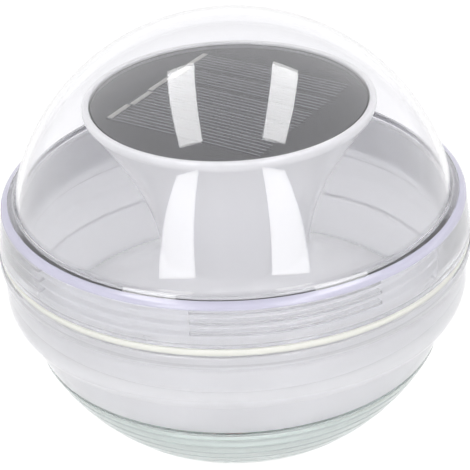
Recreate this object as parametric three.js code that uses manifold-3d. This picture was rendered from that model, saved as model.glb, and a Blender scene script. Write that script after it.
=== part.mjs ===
// Floating solar pool light, in millimetres, +Z up, standing on its foot at z = 0.
// A clear dome screws over the neck of a frosted bowl and squeezes a silicone seal between the two.
// Inside, a white trumpet-shaped column carries a round solar panel under the dome, and the clear, ribbed
// bottom of the bowl holds the LED board and three rechargeable cells.
import * as THREE from "three";
import { mergeVertices } from "three/addons/utils/BufferGeometryUtils.js";
import Module from "manifold-3d";

const wasm = await Module();
wasm.setup();

// ---- Driving dimensions ----
const GAP = 0.3; // left between pieces that rest on each other
const ROUND_STEPS = 40; // flats round a large shell

// Shells
const SEAM_RADIUS = 92.5; // outside of the bowl's rim, the widest place
const DOME_INSET = 5; // the dome's sphere is this much smaller than the seam
const BOWL_INSET = 4.2; // and the bowl's sphere this much
const BOWL_DROP = 3.8; // the bowl's centre lies this far below the dome's
const SHELL_WALL = 2.4;
const FOOT_RADIUS = 40;
const FLOOR_THICKNESS = 3.6;

// Screw between dome and bowl, heights from the dome's centre
const RIM_HEIGHT = -1; // the rim that the seal lies on
const SEAL_THICKNESS = 3;
const SEAL_WIDTH = 4;
const SEAL_SETBACK = 0.6; // the seal's edge behind the rim's edge
const SKIRT_SETBACK = 0.4;
const SKIRT_TAPER = 2;
const SKIRT_HEIGHT = 16; // straight part of the dome's skirt
const FLANGE_RISE = 2.4; // height of the sloping face between skirt and dome
const THREAD_ROWS = 3;
const THREAD_PITCH = 4.2;
const THREAD_HEIGHT = 1.6;
const THREAD_DEPTH = 2.2;
const THREAD_RUNNING_GAP = 0.6; // radial, between a thread's tip and the facing wall
const THREAD_SECTORS = 4;
const DOME_THREAD_DEGREES = 47; // length of each stretch of the dome's interrupted thread
const THREAD_START_DEGREES = 12; // middle of the first stretch, from +X
const THREAD_LEAD_IN = 0.4; // from the skirt's edge up to the dome's thread

// Bowl below the rim
const RIM_DEPTH = 5; // below the rim, where its edge has drawn in to the shoulder
const SHOULDER_HEIGHT = 15.4;
const SHOULDER_ROUND = 10.4;
const SHOULDER_INSET = 1.5;
const BEAD_ROWS = 6;
const BEAD_PITCH = 4.95;
const BEAD_RISE = 0.8;
const BEADS_OVER_LEDGE = 0.4; // how far the beads reach past the ledge
const LEDGE_DEPTH = 42.6; // from the dome's centre down to the ledge that carries the column
const LEDGE_WIDTH = 4;
const LEDGE_THICKNESS = 2;

// Column
const COLUMN_WALL = 2.2;
const COLUMN_RIM_THICKNESS = 1.2;
const LIP_RADIUS = 55.6;
const LIP_HEIGHT = 5;
const LIP_WIDTH = 2.8;
const LIP_OVERHANG = 1.6; // of the lip past the trumpet under it
const LIP_TO_DOME = 7.2; // height left between the lip and the dome over it
const WAIST_RADIUS = 29.3;
const WAIST_ABOVE_LEDGE = 36.5;
const FOOT_FLARE = 0.8; // exponents of the column's two curves
const TOP_FLARE = 1.75;
const WIRE_HOLE_RADIUS = 6;

// Solar panel, in its recess in the column's top
const PANEL_SIDE_GAP = 0.4;
const TAPE_THICKNESS = 0.6;
const TAPE_WIDTH = 4;
const BACKING_THICKNESS = 1.2;
const STRIP_COUNT = 5;
const STRIP_THICKNESS = 0.3;
const STRIP_SHARE = 0.9; // half diagonal of the strips' square, as a share of the backing's radius
const STRIP_SPLIT = 0.7; // between neighbouring cell strips
const STRIP_TURN_DEGREES = -33;
const BUS_BAR_WIDTH = 2.2;
const BUS_BAR_THICKNESS = 0.2;
const BUS_BAR_INSET = 1; // from the strips' end
const COVER_THICKNESS = 1.4;
const COVER_CROWN = 0.8;
const PANEL_SINK = 0.8; // from the lip down to the cover's edge

// Column fixings
const COLUMN_SCREWS = 3;
const SCREW_START_DEGREES = 90; // both rings of screws start straight behind the column
const COLUMN_SCREW_INSET = 7.5; // from the column's rim in to the screws
const BOSS_RADIUS = 4;
const BOSS_HEAD_HEIGHT = 7; // column boss, above the ledge
const SCREW_RADIUS = 1.2;
const SCREW_LENGTH = 13;
const SCREW_HEAD_RADIUS = 2.8;
const SCREW_HEAD_HEIGHT = 2;
const SCREW_SLOT = [4.5, 0.7]; // length and width of each arm of the cross

// Board and what is on it
const BOARD_MARGIN = 20; // from the battery tray's long side out to the board's edge
const PART_ROW = 7; // from the same side out to the middle of a row of parts
const BOARD_THICKNESS = 1.6;
const BOARD_STAND = 13; // above the bowl's floor
const BOARD_SCREWS = 3;
const BOARD_SCREW_INSET = 4;
const BOARD_SCREW_LENGTH = 7;
const POST_RADIUS = 3;
const LED_SIZE = 5;
const LED_HEIGHT = 1.4;
const BOTTOM_LEDS = 6;
const BOTTOM_LED_CIRCLE = 26;
const COLUMN_LED_ROW = 10;
const CHIP_SIZE = [8, 5, 1.8];
const CHIP_X = -15;
const INDUCTOR_SIZE = [3.2, 3.4]; // radius, height
const INDUCTOR_X = 14;
const CAPACITOR_SIZE = [2.5, 7];
const CAPACITOR_X = 18;
const SOCKET_SIZE = [6, 5, 5];
const SOLAR_SOCKET_X = -22;
const SWITCH_SOCKET_X = -12;

// Cells and tray
const CELL_DIAMETER = 14.2;
const CELL_LENGTH = 49.5;
const BATTERY_COUNT = 3;
const NIPPLE_RADIUS = 2.7;
const NIPPLE_HEIGHT = 1.2;
const TRAY_WALL = 1.4;
const TRAY_SIDE_GAP = 0.4;
const TRAY_COVERS = 0.75; // share of a cell's height that the tray's sides cover
const SPRING_ROOM = 5;
const SPRING_TURNS = 2.5;
const SPRING_WIRE = 0.7;
const SPRING_BASE = 4.4; // radius at the tray's wall
const SPRING_TIP = 2.2; // radius at the cell
const SPRING_STEPS = 24;
const PLATE_THICKNESS = 0.4;
const PLATE_SIZE = 9;

// Switch on the column's foot, at the front
const SWITCH_DEGREES = -93;
const SWITCH_SEAT = [18, 10, 2]; // along the rim, across it, thick
const SWITCH_SEAT_DROP = 1; // the seat's inner edge lies this far below the foot's surface
const SWITCH_BODY = [12, 6, 5];
const KNOB_SIZE = [3, 2.6];
const KNOB_RISE = 2.4; // above the seat
const KNOB_TRAVEL = 3;
const KNOB_SLOT_GAP = 0.4;

// Leads
const LEAD_RADIUS = 0.8;
const LEAD_SIDES = 6;
const LEAD_STEP = 7; // length of one straight stretch
const LEAD_SPACING = 1.5; // from the middle of a pair out to each lead

// ---- Sizes worked out from those ----
const DOME_RADIUS = SEAM_RADIUS - DOME_INSET;
const BOWL_RADIUS = SEAM_RADIUS - BOWL_INSET;
const BOWL_CENTRE = Math.sqrt(BOWL_RADIUS ** 2 - FOOT_RADIUS ** 2);
const DOME_CENTRE = BOWL_CENTRE + BOWL_DROP;
const DOME_INNER = DOME_RADIUS - SHELL_WALL;
const BOWL_INNER = BOWL_RADIUS - SHELL_WALL;

const RIM_Z = DOME_CENTRE + RIM_HEIGHT;
const SEAL_BOTTOM = RIM_Z + GAP;
const SKIRT_BOTTOM = SEAL_BOTTOM + SEAL_THICKNESS + GAP;
const SKIRT_TOP = SKIRT_BOTTOM + SKIRT_HEIGHT;
const FLANGE_TOP = SKIRT_TOP + FLANGE_RISE;
const SKIRT_OUTER = SEAM_RADIUS - SKIRT_SETBACK;
const SKIRT_INNER = SKIRT_OUTER - SKIRT_TAPER - SHELL_WALL;
const NECK_OUTER = SKIRT_INNER - THREAD_DEPTH - THREAD_RUNNING_GAP;
const NECK_INNER = NECK_OUTER - SHELL_WALL;
const FLANGE_UNDERSIDE = SKIRT_TOP - 0.5 * SHELL_WALL;
const NECK_TOP = FLANGE_UNDERSIDE - THREAD_RUNNING_GAP;
const DOME_THREAD_BOTTOM = SKIRT_BOTTOM + THREAD_LEAD_IN;
const BOWL_THREAD_BOTTOM = DOME_THREAD_BOTTOM - THREAD_PITCH / 2;

const LEDGE_Z = DOME_CENTRE - LEDGE_DEPTH;
const BEAD_TOP = LEDGE_Z + BEADS_OVER_LEDGE;
const SHOULDER_RADIUS = SEAM_RADIUS - SHOULDER_INSET;
const SHOULDER_BOTTOM = RIM_Z - SHOULDER_HEIGHT;
const SHOULDER_END = SHOULDER_BOTTOM - SHOULDER_ROUND;

const COLUMN_RIM_RADIUS = sphereRadius(BOWL_INNER, BOWL_CENTRE, LEDGE_Z) - 2 * GAP;
const COLUMN_BOTTOM = LEDGE_Z + GAP;
const LIP_TOP = DOME_CENTRE + Math.sqrt(DOME_INNER ** 2 - LIP_RADIUS ** 2) - LIP_TO_DOME;
const WAIST_Z = LEDGE_Z + WAIST_ABOVE_LEDGE;
const RECESS_RADIUS = LIP_RADIUS - LIP_WIDTH;
const PANEL_RADIUS = RECESS_RADIUS - PANEL_SIDE_GAP;
const PANEL_STACK = [TAPE_THICKNESS, BACKING_THICKNESS, STRIP_THICKNESS, BUS_BAR_THICKNESS, COVER_THICKNESS];
const RECESS_FLOOR = LIP_TOP - PANEL_SINK - PANEL_STACK.reduce((sum, part) => sum + part + GAP, 0);

const SCREW_CIRCLE = COLUMN_RIM_RADIUS - COLUMN_SCREW_INSET;
const SWITCH_SEAT_TOP = footHeight(SCREW_CIRCLE - SWITCH_SEAT[1] / 2) - SWITCH_SEAT_DROP;
const BOSS_TOP = LEDGE_Z + BOSS_HEAD_HEIGHT;
const FLOOR_Z = FLOOR_THICKNESS;
const BOARD_BOTTOM = FLOOR_Z + BOARD_STAND;
const BOARD_TOP = BOARD_BOTTOM + BOARD_THICKNESS;

const BATTERY_PITCH = CELL_DIAMETER + 2 * TRAY_SIDE_GAP;
const TRAY_INSIDE = [CELL_LENGTH + NIPPLE_HEIGHT + SPRING_ROOM, BATTERY_COUNT * BATTERY_PITCH];
const TRAY_EDGE = TRAY_INSIDE[1] / 2 + TRAY_WALL;
const BOARD_RADIUS = TRAY_EDGE + BOARD_MARGIN;
const BOARD_SCREW_CIRCLE = BOARD_RADIUS - BOARD_SCREW_INSET;
const PARTS_Y = TRAY_EDGE + PART_ROW;
const TRAY_BOTTOM = BOARD_TOP + GAP;
const BATTERY_Z = TRAY_BOTTOM + TRAY_WALL + GAP + CELL_DIAMETER / 2;
const TRAY_HEIGHT = TRAY_WALL + GAP + TRAY_COVERS * CELL_DIAMETER;

// ---- Geometry helpers ----

// Radius of a sphere's section at height z.
function sphereRadius(radius, centre, z) {
  return Math.sqrt(radius ** 2 - (z - centre) ** 2);
}

const radians = THREE.MathUtils.degToRad;

// A solid of revolution about Z. The profile runs up the outside and down the inside.
function revolve(profile, steps = ROUND_STEPS) {
  const points = profile.map(([r, z]) => new THREE.Vector2(r, z));
  return new THREE.LatheGeometry(points, steps).rotateX(Math.PI / 2);
}

// A closed ring about Z from its section's corners, counter-clockwise.
function ring(section, steps = ROUND_STEPS) {
  return revolve([...section, section[0]], steps);
}

// A flat ring about Z with a rectangular section.
function washer(inner, outer, bottom, top, steps = ROUND_STEPS) {
  return ring([[inner, bottom], [outer, bottom], [outer, top], [inner, top]], steps);
}

// An upright cylinder from bottom to top.
function post(radius, bottom, top, sides = 16) {
  const height = top - bottom;
  return new THREE.CylinderGeometry(radius, radius, height, sides)
    .rotateX(Math.PI / 2)
    .translate(0, 0, bottom + height / 2);
}

// A box that stands on z = bottom, centred on x and y.
function block(sizeX, sizeY, bottom, top) {
  return new THREE.BoxGeometry(sizeX, sizeY, top - bottom).translate(0, 0, (bottom + top) / 2);
}

// Points on an arc of the sphere between two heights, both included.
function sphereArc(radius, centre, fromZ, toZ, steps) {
  const angleAt = (z) => Math.asin(THREE.MathUtils.clamp((z - centre) / radius, -1, 1));
  const start = angleAt(fromZ);
  const end = angleAt(toZ);
  return Array.from({ length: steps + 1 }, (_, i) => {
    const angle = start + ((end - start) * i) / steps;
    return [radius * Math.cos(angle), centre + radius * Math.sin(angle)];
  });
}

// Manifold solid of a closed geometry, for cutting and joining.
function solid(geometry) {
  const plain = geometry.index ? geometry.toNonIndexed() : geometry.clone();
  plain.deleteAttribute("normal");
  plain.deleteAttribute("uv");
  const merged = mergeVertices(plain, 1e-4);
  return new wasm.Manifold(
    new wasm.Mesh({
      numProp: 3,
      vertProperties: merged.attributes.position.array,
      triVerts: new Uint32Array(merged.index.array),
    }),
  );
}

// The geometry of a manifold solid.
function geometryOf(manifold) {
  const mesh = manifold.getMesh();
  const geometry = new THREE.BufferGeometry();
  geometry.setAttribute("position", new THREE.BufferAttribute(mesh.vertProperties, 3));
  geometry.setIndex(new THREE.BufferAttribute(mesh.triVerts, 1));
  geometry.computeVertexNormals();
  return geometry;
}

const joined = (first, ...rest) => rest.reduce((sum, next) => sum.add(next), first);
const cut = (first, ...rest) => rest.reduce((left, next) => left.subtract(next), first);

// A place on a circle about Z.
function onCircle(radius, degrees, z = 0) {
  return new THREE.Vector3(radius * Math.cos(radians(degrees)), radius * Math.sin(radians(degrees)), z);
}

// A piece of a ring about Z, with a rectangular section, from one angle to another.
function ringSector(inner, outer, bottom, top, fromDegrees, toDegrees) {
  const steps = Math.max(2, Math.round(((toDegrees - fromDegrees) * ROUND_STEPS) / 360));
  const at = (i) => fromDegrees + ((toDegrees - fromDegrees) * i) / steps;
  const outline = [];
  for (let i = 0; i <= steps; i++) outline.push(onCircle(outer, at(i)));
  for (let i = steps; i >= 0; i--) outline.push(onCircle(inner, at(i)));
  const shape = new THREE.Shape(outline.map((p) => new THREE.Vector2(p.x, p.y)));
  return new THREE.ExtrudeGeometry(shape, { depth: top - bottom, bevelEnabled: false }).translate(0, 0, bottom);
}

// One side of the screw: stretches of right-hand thread, evenly spaced round Z, joined into rows.
function threadStretches(inner, outer, firstBottom, widthDegrees) {
  const pieces = [];
  for (let sector = 0; sector < THREAD_SECTORS; sector++) {
    const middle = THREAD_START_DEGREES + (sector * 360) / THREAD_SECTORS;
    for (let row = 0; row < THREAD_ROWS; row++) {
      const stretch = ringSector(inner, outer, 0, THREAD_HEIGHT, -widthDegrees / 2, widthDegrees / 2);
      const corners = stretch.attributes.position;
      for (let i = 0; i < corners.count; i++) {
        const turn = Math.atan2(corners.getY(i), corners.getX(i)) / (2 * Math.PI);
        corners.setZ(i, corners.getZ(i) + turn * THREAD_PITCH);
      }
      const bottom = firstBottom + (row + middle / 360) * THREAD_PITCH;
      pieces.push(solid(stretch.rotateZ(radians(middle)).translate(0, 0, bottom)));
    }
  }
  return pieces;
}

// A round lead through a list of points.
function lead(points) {
  const path = new THREE.CatmullRomCurve3(points.map(([x, y, z]) => new THREE.Vector3(x, y, z)));
  const section = new THREE.Shape(
    Array.from({ length: LEAD_SIDES }, (_, i) => {
      const angle = (2 * Math.PI * i) / LEAD_SIDES;
      return new THREE.Vector2(LEAD_RADIUS * Math.cos(angle), LEAD_RADIUS * Math.sin(angle));
    }),
  );
  const steps = Math.round(path.getLength() / LEAD_STEP);
  return new THREE.ExtrudeGeometry(section, { steps, bevelEnabled: false, extrudePath: path });
}

// ---- Materials ----
function finish(color, roughness, metalness = 0, opacity = 1) {
  return new THREE.MeshStandardMaterial({ color, roughness, metalness, opacity, transparent: opacity < 1 });
}

const FINISH = {
  clear: finish(0xeef0f6, 0.05, 0, 0.3),
  frosted: finish(0xe6e8ee, 0.35, 0, 0.6),
  silicone: finish(0xe4e6c8, 0.5, 0, 0.8),
  white: finish(0xf2f3f5, 0.25),
  tape: finish(0xd8d8d8, 0.9),
  cell: finish(0x30303a, 0.25),
  backing: finish(0x3c3d44, 0.4),
  tin: finish(0xd4d6cf, 0.4, 0.9),
  steel: finish(0xb8babd, 0.3, 1),
  board: finish(0x2f7a5c, 0.5),
  led: finish(0xf4f2dc, 0.4),
  black: finish(0x1c1c1e, 0.5),
  battery: finish(0x3f9a5a, 0.4),
  red: finish(0xb02a24, 0.5),
};

const light = new THREE.Group();

// Adds a piece to the light.
function add(name, geometry, material, parent = light) {
  const mesh = new THREE.Mesh(geometry, material);
  mesh.name = name;
  parent.add(mesh);
  return mesh;
}

// ---- Dome ----
function clearDome() {
  const shell = solid(
    revolve([
      ...sphereArc(DOME_INNER, DOME_CENTRE, DOME_CENTRE + DOME_INNER, FLANGE_UNDERSIDE, 7),
      [SKIRT_INNER, FLANGE_UNDERSIDE],
      [SKIRT_INNER, SKIRT_BOTTOM],
      [SKIRT_OUTER, SKIRT_BOTTOM],
      [SKIRT_OUTER - SKIRT_TAPER, SKIRT_TOP],
      ...sphereArc(DOME_RADIUS, DOME_CENTRE, FLANGE_TOP, DOME_CENTRE + DOME_RADIUS, 7),
    ]),
  );
  const root = SKIRT_INNER + 0.5 * SHELL_WALL;
  const thread = threadStretches(SKIRT_INNER - THREAD_DEPTH, root, DOME_THREAD_BOTTOM, DOME_THREAD_DEGREES);
  return geometryOf(joined(shell, ...thread));
}

// ---- Seal ----
function sealRing() {
  const outer = SEAM_RADIUS - SEAL_SETBACK;
  return washer(outer - SEAL_WIDTH, outer, SEAL_BOTTOM, SEAL_BOTTOM + SEAL_THICKNESS);
}

// ---- Bowl ----

// The ribbed, clear bottom: beads that stand out from the sphere, from the foot up.
function beadOutline() {
  const points = [];
  for (let row = BEAD_ROWS; row > 0; row--) {
    const groove = BEAD_TOP - row * BEAD_PITCH;
    const crest = groove + BEAD_PITCH / 2;
    points.push([sphereRadius(BOWL_RADIUS, BOWL_CENTRE, groove), groove]);
    points.push([sphereRadius(BOWL_RADIUS, BOWL_CENTRE, crest) + BEAD_RISE, crest]);
  }
  return points;
}

// The rounded end of the shoulder: a quarter ellipse that turns in to meet the sphere.
function shoulderRound(steps = 4) {
  const end = sphereRadius(BOWL_RADIUS, BOWL_CENTRE, SHOULDER_END);
  return Array.from({ length: steps }, (_, i) => {
    const turn = ((Math.PI / 2) * (steps - i)) / steps;
    const r = end + (SHOULDER_RADIUS - end) * Math.cos(turn);
    return [r, SHOULDER_BOTTOM - SHOULDER_ROUND * Math.sin(turn)];
  });
}

function lowerBowl() {
  const beadsBottom = BEAD_TOP - BEAD_ROWS * BEAD_PITCH;
  const ledgeInner = sphereRadius(BOWL_INNER, BOWL_CENTRE, LEDGE_Z) - LEDGE_WIDTH;
  const shell = solid(
    revolve([
      [0, 0],
      ...sphereArc(BOWL_RADIUS, BOWL_CENTRE, 0, beadsBottom, 2).slice(0, -1),
      ...beadOutline(),
      ...sphereArc(BOWL_RADIUS, BOWL_CENTRE, BEAD_TOP, SHOULDER_END, 3).slice(0, -1),
      ...shoulderRound(),
      [SHOULDER_RADIUS, SHOULDER_BOTTOM],
      [SHOULDER_RADIUS, RIM_Z - RIM_DEPTH],
      [SEAM_RADIUS, RIM_Z - 0.5 * RIM_DEPTH],
      [SEAM_RADIUS, RIM_Z],
      [NECK_OUTER, RIM_Z],
      [NECK_OUTER, NECK_TOP],
      [NECK_INNER, NECK_TOP],
      [NECK_INNER, RIM_Z - SHELL_WALL],
      [SHOULDER_RADIUS - SHELL_WALL, RIM_Z - 3 * SHELL_WALL],
      [SHOULDER_RADIUS - SHELL_WALL, SHOULDER_BOTTOM],
      ...sphereArc(BOWL_INNER, BOWL_CENTRE, SHOULDER_END, LEDGE_Z, 2),
      [ledgeInner, LEDGE_Z],
      [ledgeInner, LEDGE_Z - LEDGE_THICKNESS],
      ...sphereArc(BOWL_INNER, BOWL_CENTRE, LEDGE_Z - LEDGE_THICKNESS, FLOOR_Z, 4),
      [0, FLOOR_Z],
    ]),
  );
  // The neck's thread runs all the way round, so its stretches overlap a little at their ends.
  const fullStretch = 360 / THREAD_SECTORS + 1;
  const root = NECK_OUTER - 0.5 * SHELL_WALL;
  const thread = threadStretches(root, NECK_OUTER + THREAD_DEPTH, BOWL_THREAD_BOTTOM, fullStretch);
  // Bosses reach from the wall up to the ledge, and posts from the floor up to the board.
  const core = solid(new THREE.SphereGeometry(BOWL_INNER + 0.4 * SHELL_WALL, 32, 24).translate(0, 0, BOWL_CENTRE));
  const bosses = screwPlaces().map(({ x, y }) => {
    const upright = solid(post(BOSS_RADIUS, FLOOR_Z, LEDGE_Z).translate(x, y, 0));
    const bore = solid(post(SCREW_RADIUS + GAP, BOSS_TOP - SCREW_LENGTH - GAP, LEDGE_Z + 1).translate(x, y, 0));
    return { upright: upright.intersect(core), bore };
  });
  const posts = boardScrewPlaces().map(({ x, y }) => {
    const upright = solid(post(POST_RADIUS, FLOOR_Z - 1, BOARD_BOTTOM - GAP).translate(x, y, 0));
    const bore = solid(
      post(SCREW_RADIUS + GAP, BOARD_TOP - BOARD_SCREW_LENGTH - GAP, BOARD_TOP).translate(x, y, 0),
    );
    return { upright, bore };
  });
  const fixings = [...bosses, ...posts];
  const body = joined(shell, ...thread, ...fixings.map((f) => f.upright));
  return geometryOf(cut(body, ...fixings.map((f) => f.bore)));
}

// ---- Column ----

// Outside of the trumpet from the foot's rim up to the lip, drawn in by the offset.
function columnOutline(offset = 0) {
  const steps = 6;
  const footZ = COLUMN_BOTTOM + COLUMN_RIM_THICKNESS;
  const neckZ = LIP_TOP - LIP_HEIGHT;
  const points = [];
  for (let i = 0; i < steps; i++) {
    const rise = i / steps;
    const spread = (1 - Math.sin((rise * Math.PI) / 2)) ** FOOT_FLARE;
    const r = WAIST_RADIUS + (COLUMN_RIM_RADIUS - WAIST_RADIUS) * spread;
    points.push([r - offset, footZ + (WAIST_Z - footZ) * rise]);
  }
  for (let i = 0; i <= steps; i++) {
    const rise = i / steps;
    const r = WAIST_RADIUS + (LIP_RADIUS - LIP_OVERHANG - WAIST_RADIUS) * rise ** TOP_FLARE;
    points.push([r - offset, WAIST_Z + (neckZ - WAIST_Z) * rise]);
  }
  return points;
}

// Height of the column's outside at a radius on its foot.
function footHeight(radius) {
  const outline = columnOutline();
  const above = outline.findIndex(([r]) => r <= radius);
  const [[r0, z0], [r1, z1]] = [outline[above - 1], outline[above]];
  return z0 + ((z1 - z0) * (radius - r0)) / (r1 - r0);
}

function solarColumn() {
  const inside = columnOutline(COLUMN_WALL).filter(([, z]) => z < RECESS_FLOOR - COLUMN_WALL);
  const shell = solid(
    revolve([
      [COLUMN_RIM_RADIUS - COLUMN_WALL, COLUMN_BOTTOM],
      [COLUMN_RIM_RADIUS, COLUMN_BOTTOM],
      ...columnOutline(),
      [LIP_RADIUS, LIP_TOP - 0.6 * LIP_HEIGHT],
      [LIP_RADIUS, LIP_TOP - 0.2 * LIP_HEIGHT],
      [LIP_RADIUS - 0.4 * LIP_WIDTH, LIP_TOP],
      [RECESS_RADIUS, LIP_TOP],
      [RECESS_RADIUS, RECESS_FLOOR],
      [WIRE_HOLE_RADIUS, RECESS_FLOOR],
      [WIRE_HOLE_RADIUS, RECESS_FLOOR - COLUMN_WALL],
      [inside.at(-1)[0], RECESS_FLOOR - COLUMN_WALL],
      ...inside.reverse(),
      [COLUMN_RIM_RADIUS - COLUMN_WALL, COLUMN_BOTTOM],
    ]),
  );
  const screws = screwPlaces().map(({ x, y }) => ({
    sleeve: solid(post(BOSS_RADIUS, COLUMN_BOTTOM, BOSS_TOP).translate(x, y, 0)),
    headRoom: solid(post(BOSS_RADIUS, BOSS_TOP, BOSS_TOP + 4 * SCREW_HEAD_HEIGHT).translate(x, y, 0)),
    bore: solid(post(SCREW_RADIUS + GAP, LEDGE_Z, BOSS_TOP + 1).translate(x, y, 0)),
  }));
  const [seatX, seatY, seatZ] = SWITCH_SEAT;
  const top = SWITCH_SEAT_TOP;
  const seat = solid(placeAtSwitch(block(seatX, seatY, top - seatZ, top)));
  const overSeat = solid(placeAtSwitch(block(seatX, seatY, top, top + 3 * seatZ)));
  const slot = solid(
    placeAtSwitch(
      block(
        KNOB_SIZE[0] + KNOB_TRAVEL + 2 * KNOB_SLOT_GAP,
        KNOB_SIZE[1] + 2 * KNOB_SLOT_GAP,
        top - 2 * seatZ,
        top + seatZ,
      ),
    ),
  );
  const underSeat = solid(
    placeAtSwitch(block(seatX - 2 * COLUMN_WALL, seatY - COLUMN_WALL, top - seatZ - SWITCH_BODY[2], top - seatZ)),
  );
  const body = joined(shell, ...screws.map((s) => s.sleeve));
  const opened = cut(body, ...screws.flatMap((s) => [s.headRoom, s.bore]), overSeat, underSeat);
  return geometryOf(cut(opened.add(seat), slot));
}

function screwPlaces() {
  return Array.from({ length: COLUMN_SCREWS }, (_, i) =>
    onCircle(SCREW_CIRCLE, SCREW_START_DEGREES + (i * 360) / COLUMN_SCREWS),
  );
}

function boardScrewPlaces() {
  return Array.from({ length: BOARD_SCREWS }, (_, i) =>
    onCircle(BOARD_SCREW_CIRCLE, SCREW_START_DEGREES + (i * 360) / BOARD_SCREWS),
  );
}

// A pan-head screw whose head rests at the given height.
function screw(length, headBottom) {
  const shank = solid(post(SCREW_RADIUS, headBottom - length, headBottom + 0.5, 10));
  const head = solid(post(SCREW_HEAD_RADIUS, headBottom, headBottom + SCREW_HEAD_HEIGHT, 14));
  const slotBottom = headBottom + 0.5 * SCREW_HEAD_HEIGHT;
  const slot = solid(block(...SCREW_SLOT, slotBottom, slotBottom + SCREW_HEAD_HEIGHT));
  const cross = slot.add(slot.rotate([0, 0, 90]));
  return geometryOf(shank.add(head).subtract(cross));
}

// ---- Solar panel ----
function solarPanel() {
  let z = RECESS_FLOOR + GAP;
  const level = (thickness) => {
    const bottom = z;
    z += thickness + GAP;
    return [bottom, bottom + thickness];
  };
  const [tapeBottom, tapeTop] = level(TAPE_THICKNESS);
  add("panel_tape", washer(PANEL_RADIUS - TAPE_WIDTH, PANEL_RADIUS, tapeBottom, tapeTop), FINISH.tape);
  const [backBottom, backTop] = level(BACKING_THICKNESS);
  add("panel_backing", post(PANEL_RADIUS, backBottom, backTop, ROUND_STEPS), FINISH.backing);

  const side = PANEL_RADIUS * STRIP_SHARE * Math.SQRT2;
  const pitch = (side + STRIP_SPLIT) / STRIP_COUNT;
  const width = pitch - STRIP_SPLIT;
  const turned = new THREE.Group();
  turned.rotation.z = radians(STRIP_TURN_DEGREES);
  light.add(turned);
  const [cellBottom, cellTop] = level(STRIP_THICKNESS);
  const [barBottom, barTop] = level(BUS_BAR_THICKNESS);
  for (let i = 0; i < STRIP_COUNT; i++) {
    const y = (i - (STRIP_COUNT - 1) / 2) * pitch;
    add(`solar_cell_${i + 1}`, block(side, width, cellBottom, cellTop).translate(0, y, 0), FINISH.cell, turned);
    const barX = -(side - BUS_BAR_WIDTH) / 2 + BUS_BAR_INSET;
    add(`bus_bar_${i + 1}`, block(BUS_BAR_WIDTH, width, barBottom, barTop).translate(barX, y, 0), FINISH.tin, turned);
  }

  const coverBottom = z;
  const crownBottom = coverBottom + COVER_THICKNESS;
  const crown = [1, 0.7, 0.35, 0].map((part) => [part * PANEL_RADIUS, crownBottom + COVER_CROWN * (1 - part ** 2)]);
  add("panel_cover", revolve([[0, coverBottom], [PANEL_RADIUS, coverBottom], ...crown]), FINISH.clear);
}

// ---- Board, LEDs and parts ----
function electronics() {
  const holes = boardScrewPlaces().map(({ x, y }) =>
    solid(post(SCREW_RADIUS + GAP, BOARD_BOTTOM - 1, BOARD_TOP + 1).translate(x, y, 0)),
  );
  const disc = solid(post(BOARD_RADIUS, BOARD_BOTTOM, BOARD_TOP, ROUND_STEPS));
  add("led_board", geometryOf(cut(disc, ...holes)), FINISH.board);
  boardScrewPlaces().forEach(({ x, y }, i) => {
    add(`board_screw_${i + 1}`, screw(BOARD_SCREW_LENGTH, BOARD_TOP + GAP).translate(x, y, 0), FINISH.steel);
  });
  for (let i = 0; i < BOTTOM_LEDS; i++) {
    const { x, y } = onCircle(BOTTOM_LED_CIRCLE, (i * 360) / BOTTOM_LEDS);
    const top = BOARD_BOTTOM - GAP;
    add(`bottom_led_${i + 1}`, block(LED_SIZE, LED_SIZE, top - LED_HEIGHT, top).translate(x, y, 0), FINISH.led);
  }
  const bottom = BOARD_TOP + GAP;
  [-1, 1].forEach((sign, i) => {
    const y = sign * (TRAY_EDGE + COLUMN_LED_ROW);
    const led = block(LED_SIZE, LED_SIZE, bottom, bottom + LED_HEIGHT).translate(0, y, 0);
    add(`column_led_${i + 1}`, led, FINISH.led);
  });
  const [chipX, chipY, chipZ] = CHIP_SIZE;
  add("driver_chip", block(chipX, chipY, bottom, bottom + chipZ).translate(CHIP_X, PARTS_Y, 0), FINISH.black);
  const coil = post(INDUCTOR_SIZE[0], bottom, bottom + INDUCTOR_SIZE[1], 12);
  add("inductor", coil.translate(INDUCTOR_X, PARTS_Y, 0), FINISH.black);
  const can = post(CAPACITOR_SIZE[0], bottom, bottom + CAPACITOR_SIZE[1], 12);
  add("capacitor", can.translate(CAPACITOR_X, -PARTS_Y, 0), FINISH.black);
  const [socketX, socketY, socketZ] = SOCKET_SIZE;
  const sockets = [["solar_socket", SOLAR_SOCKET_X], ["switch_socket", SWITCH_SOCKET_X]];
  sockets.forEach(([name, x]) => {
    add(name, block(socketX, socketY, bottom, bottom + socketZ).translate(x, -PARTS_Y, 0), FINISH.white);
  });
}

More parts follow.
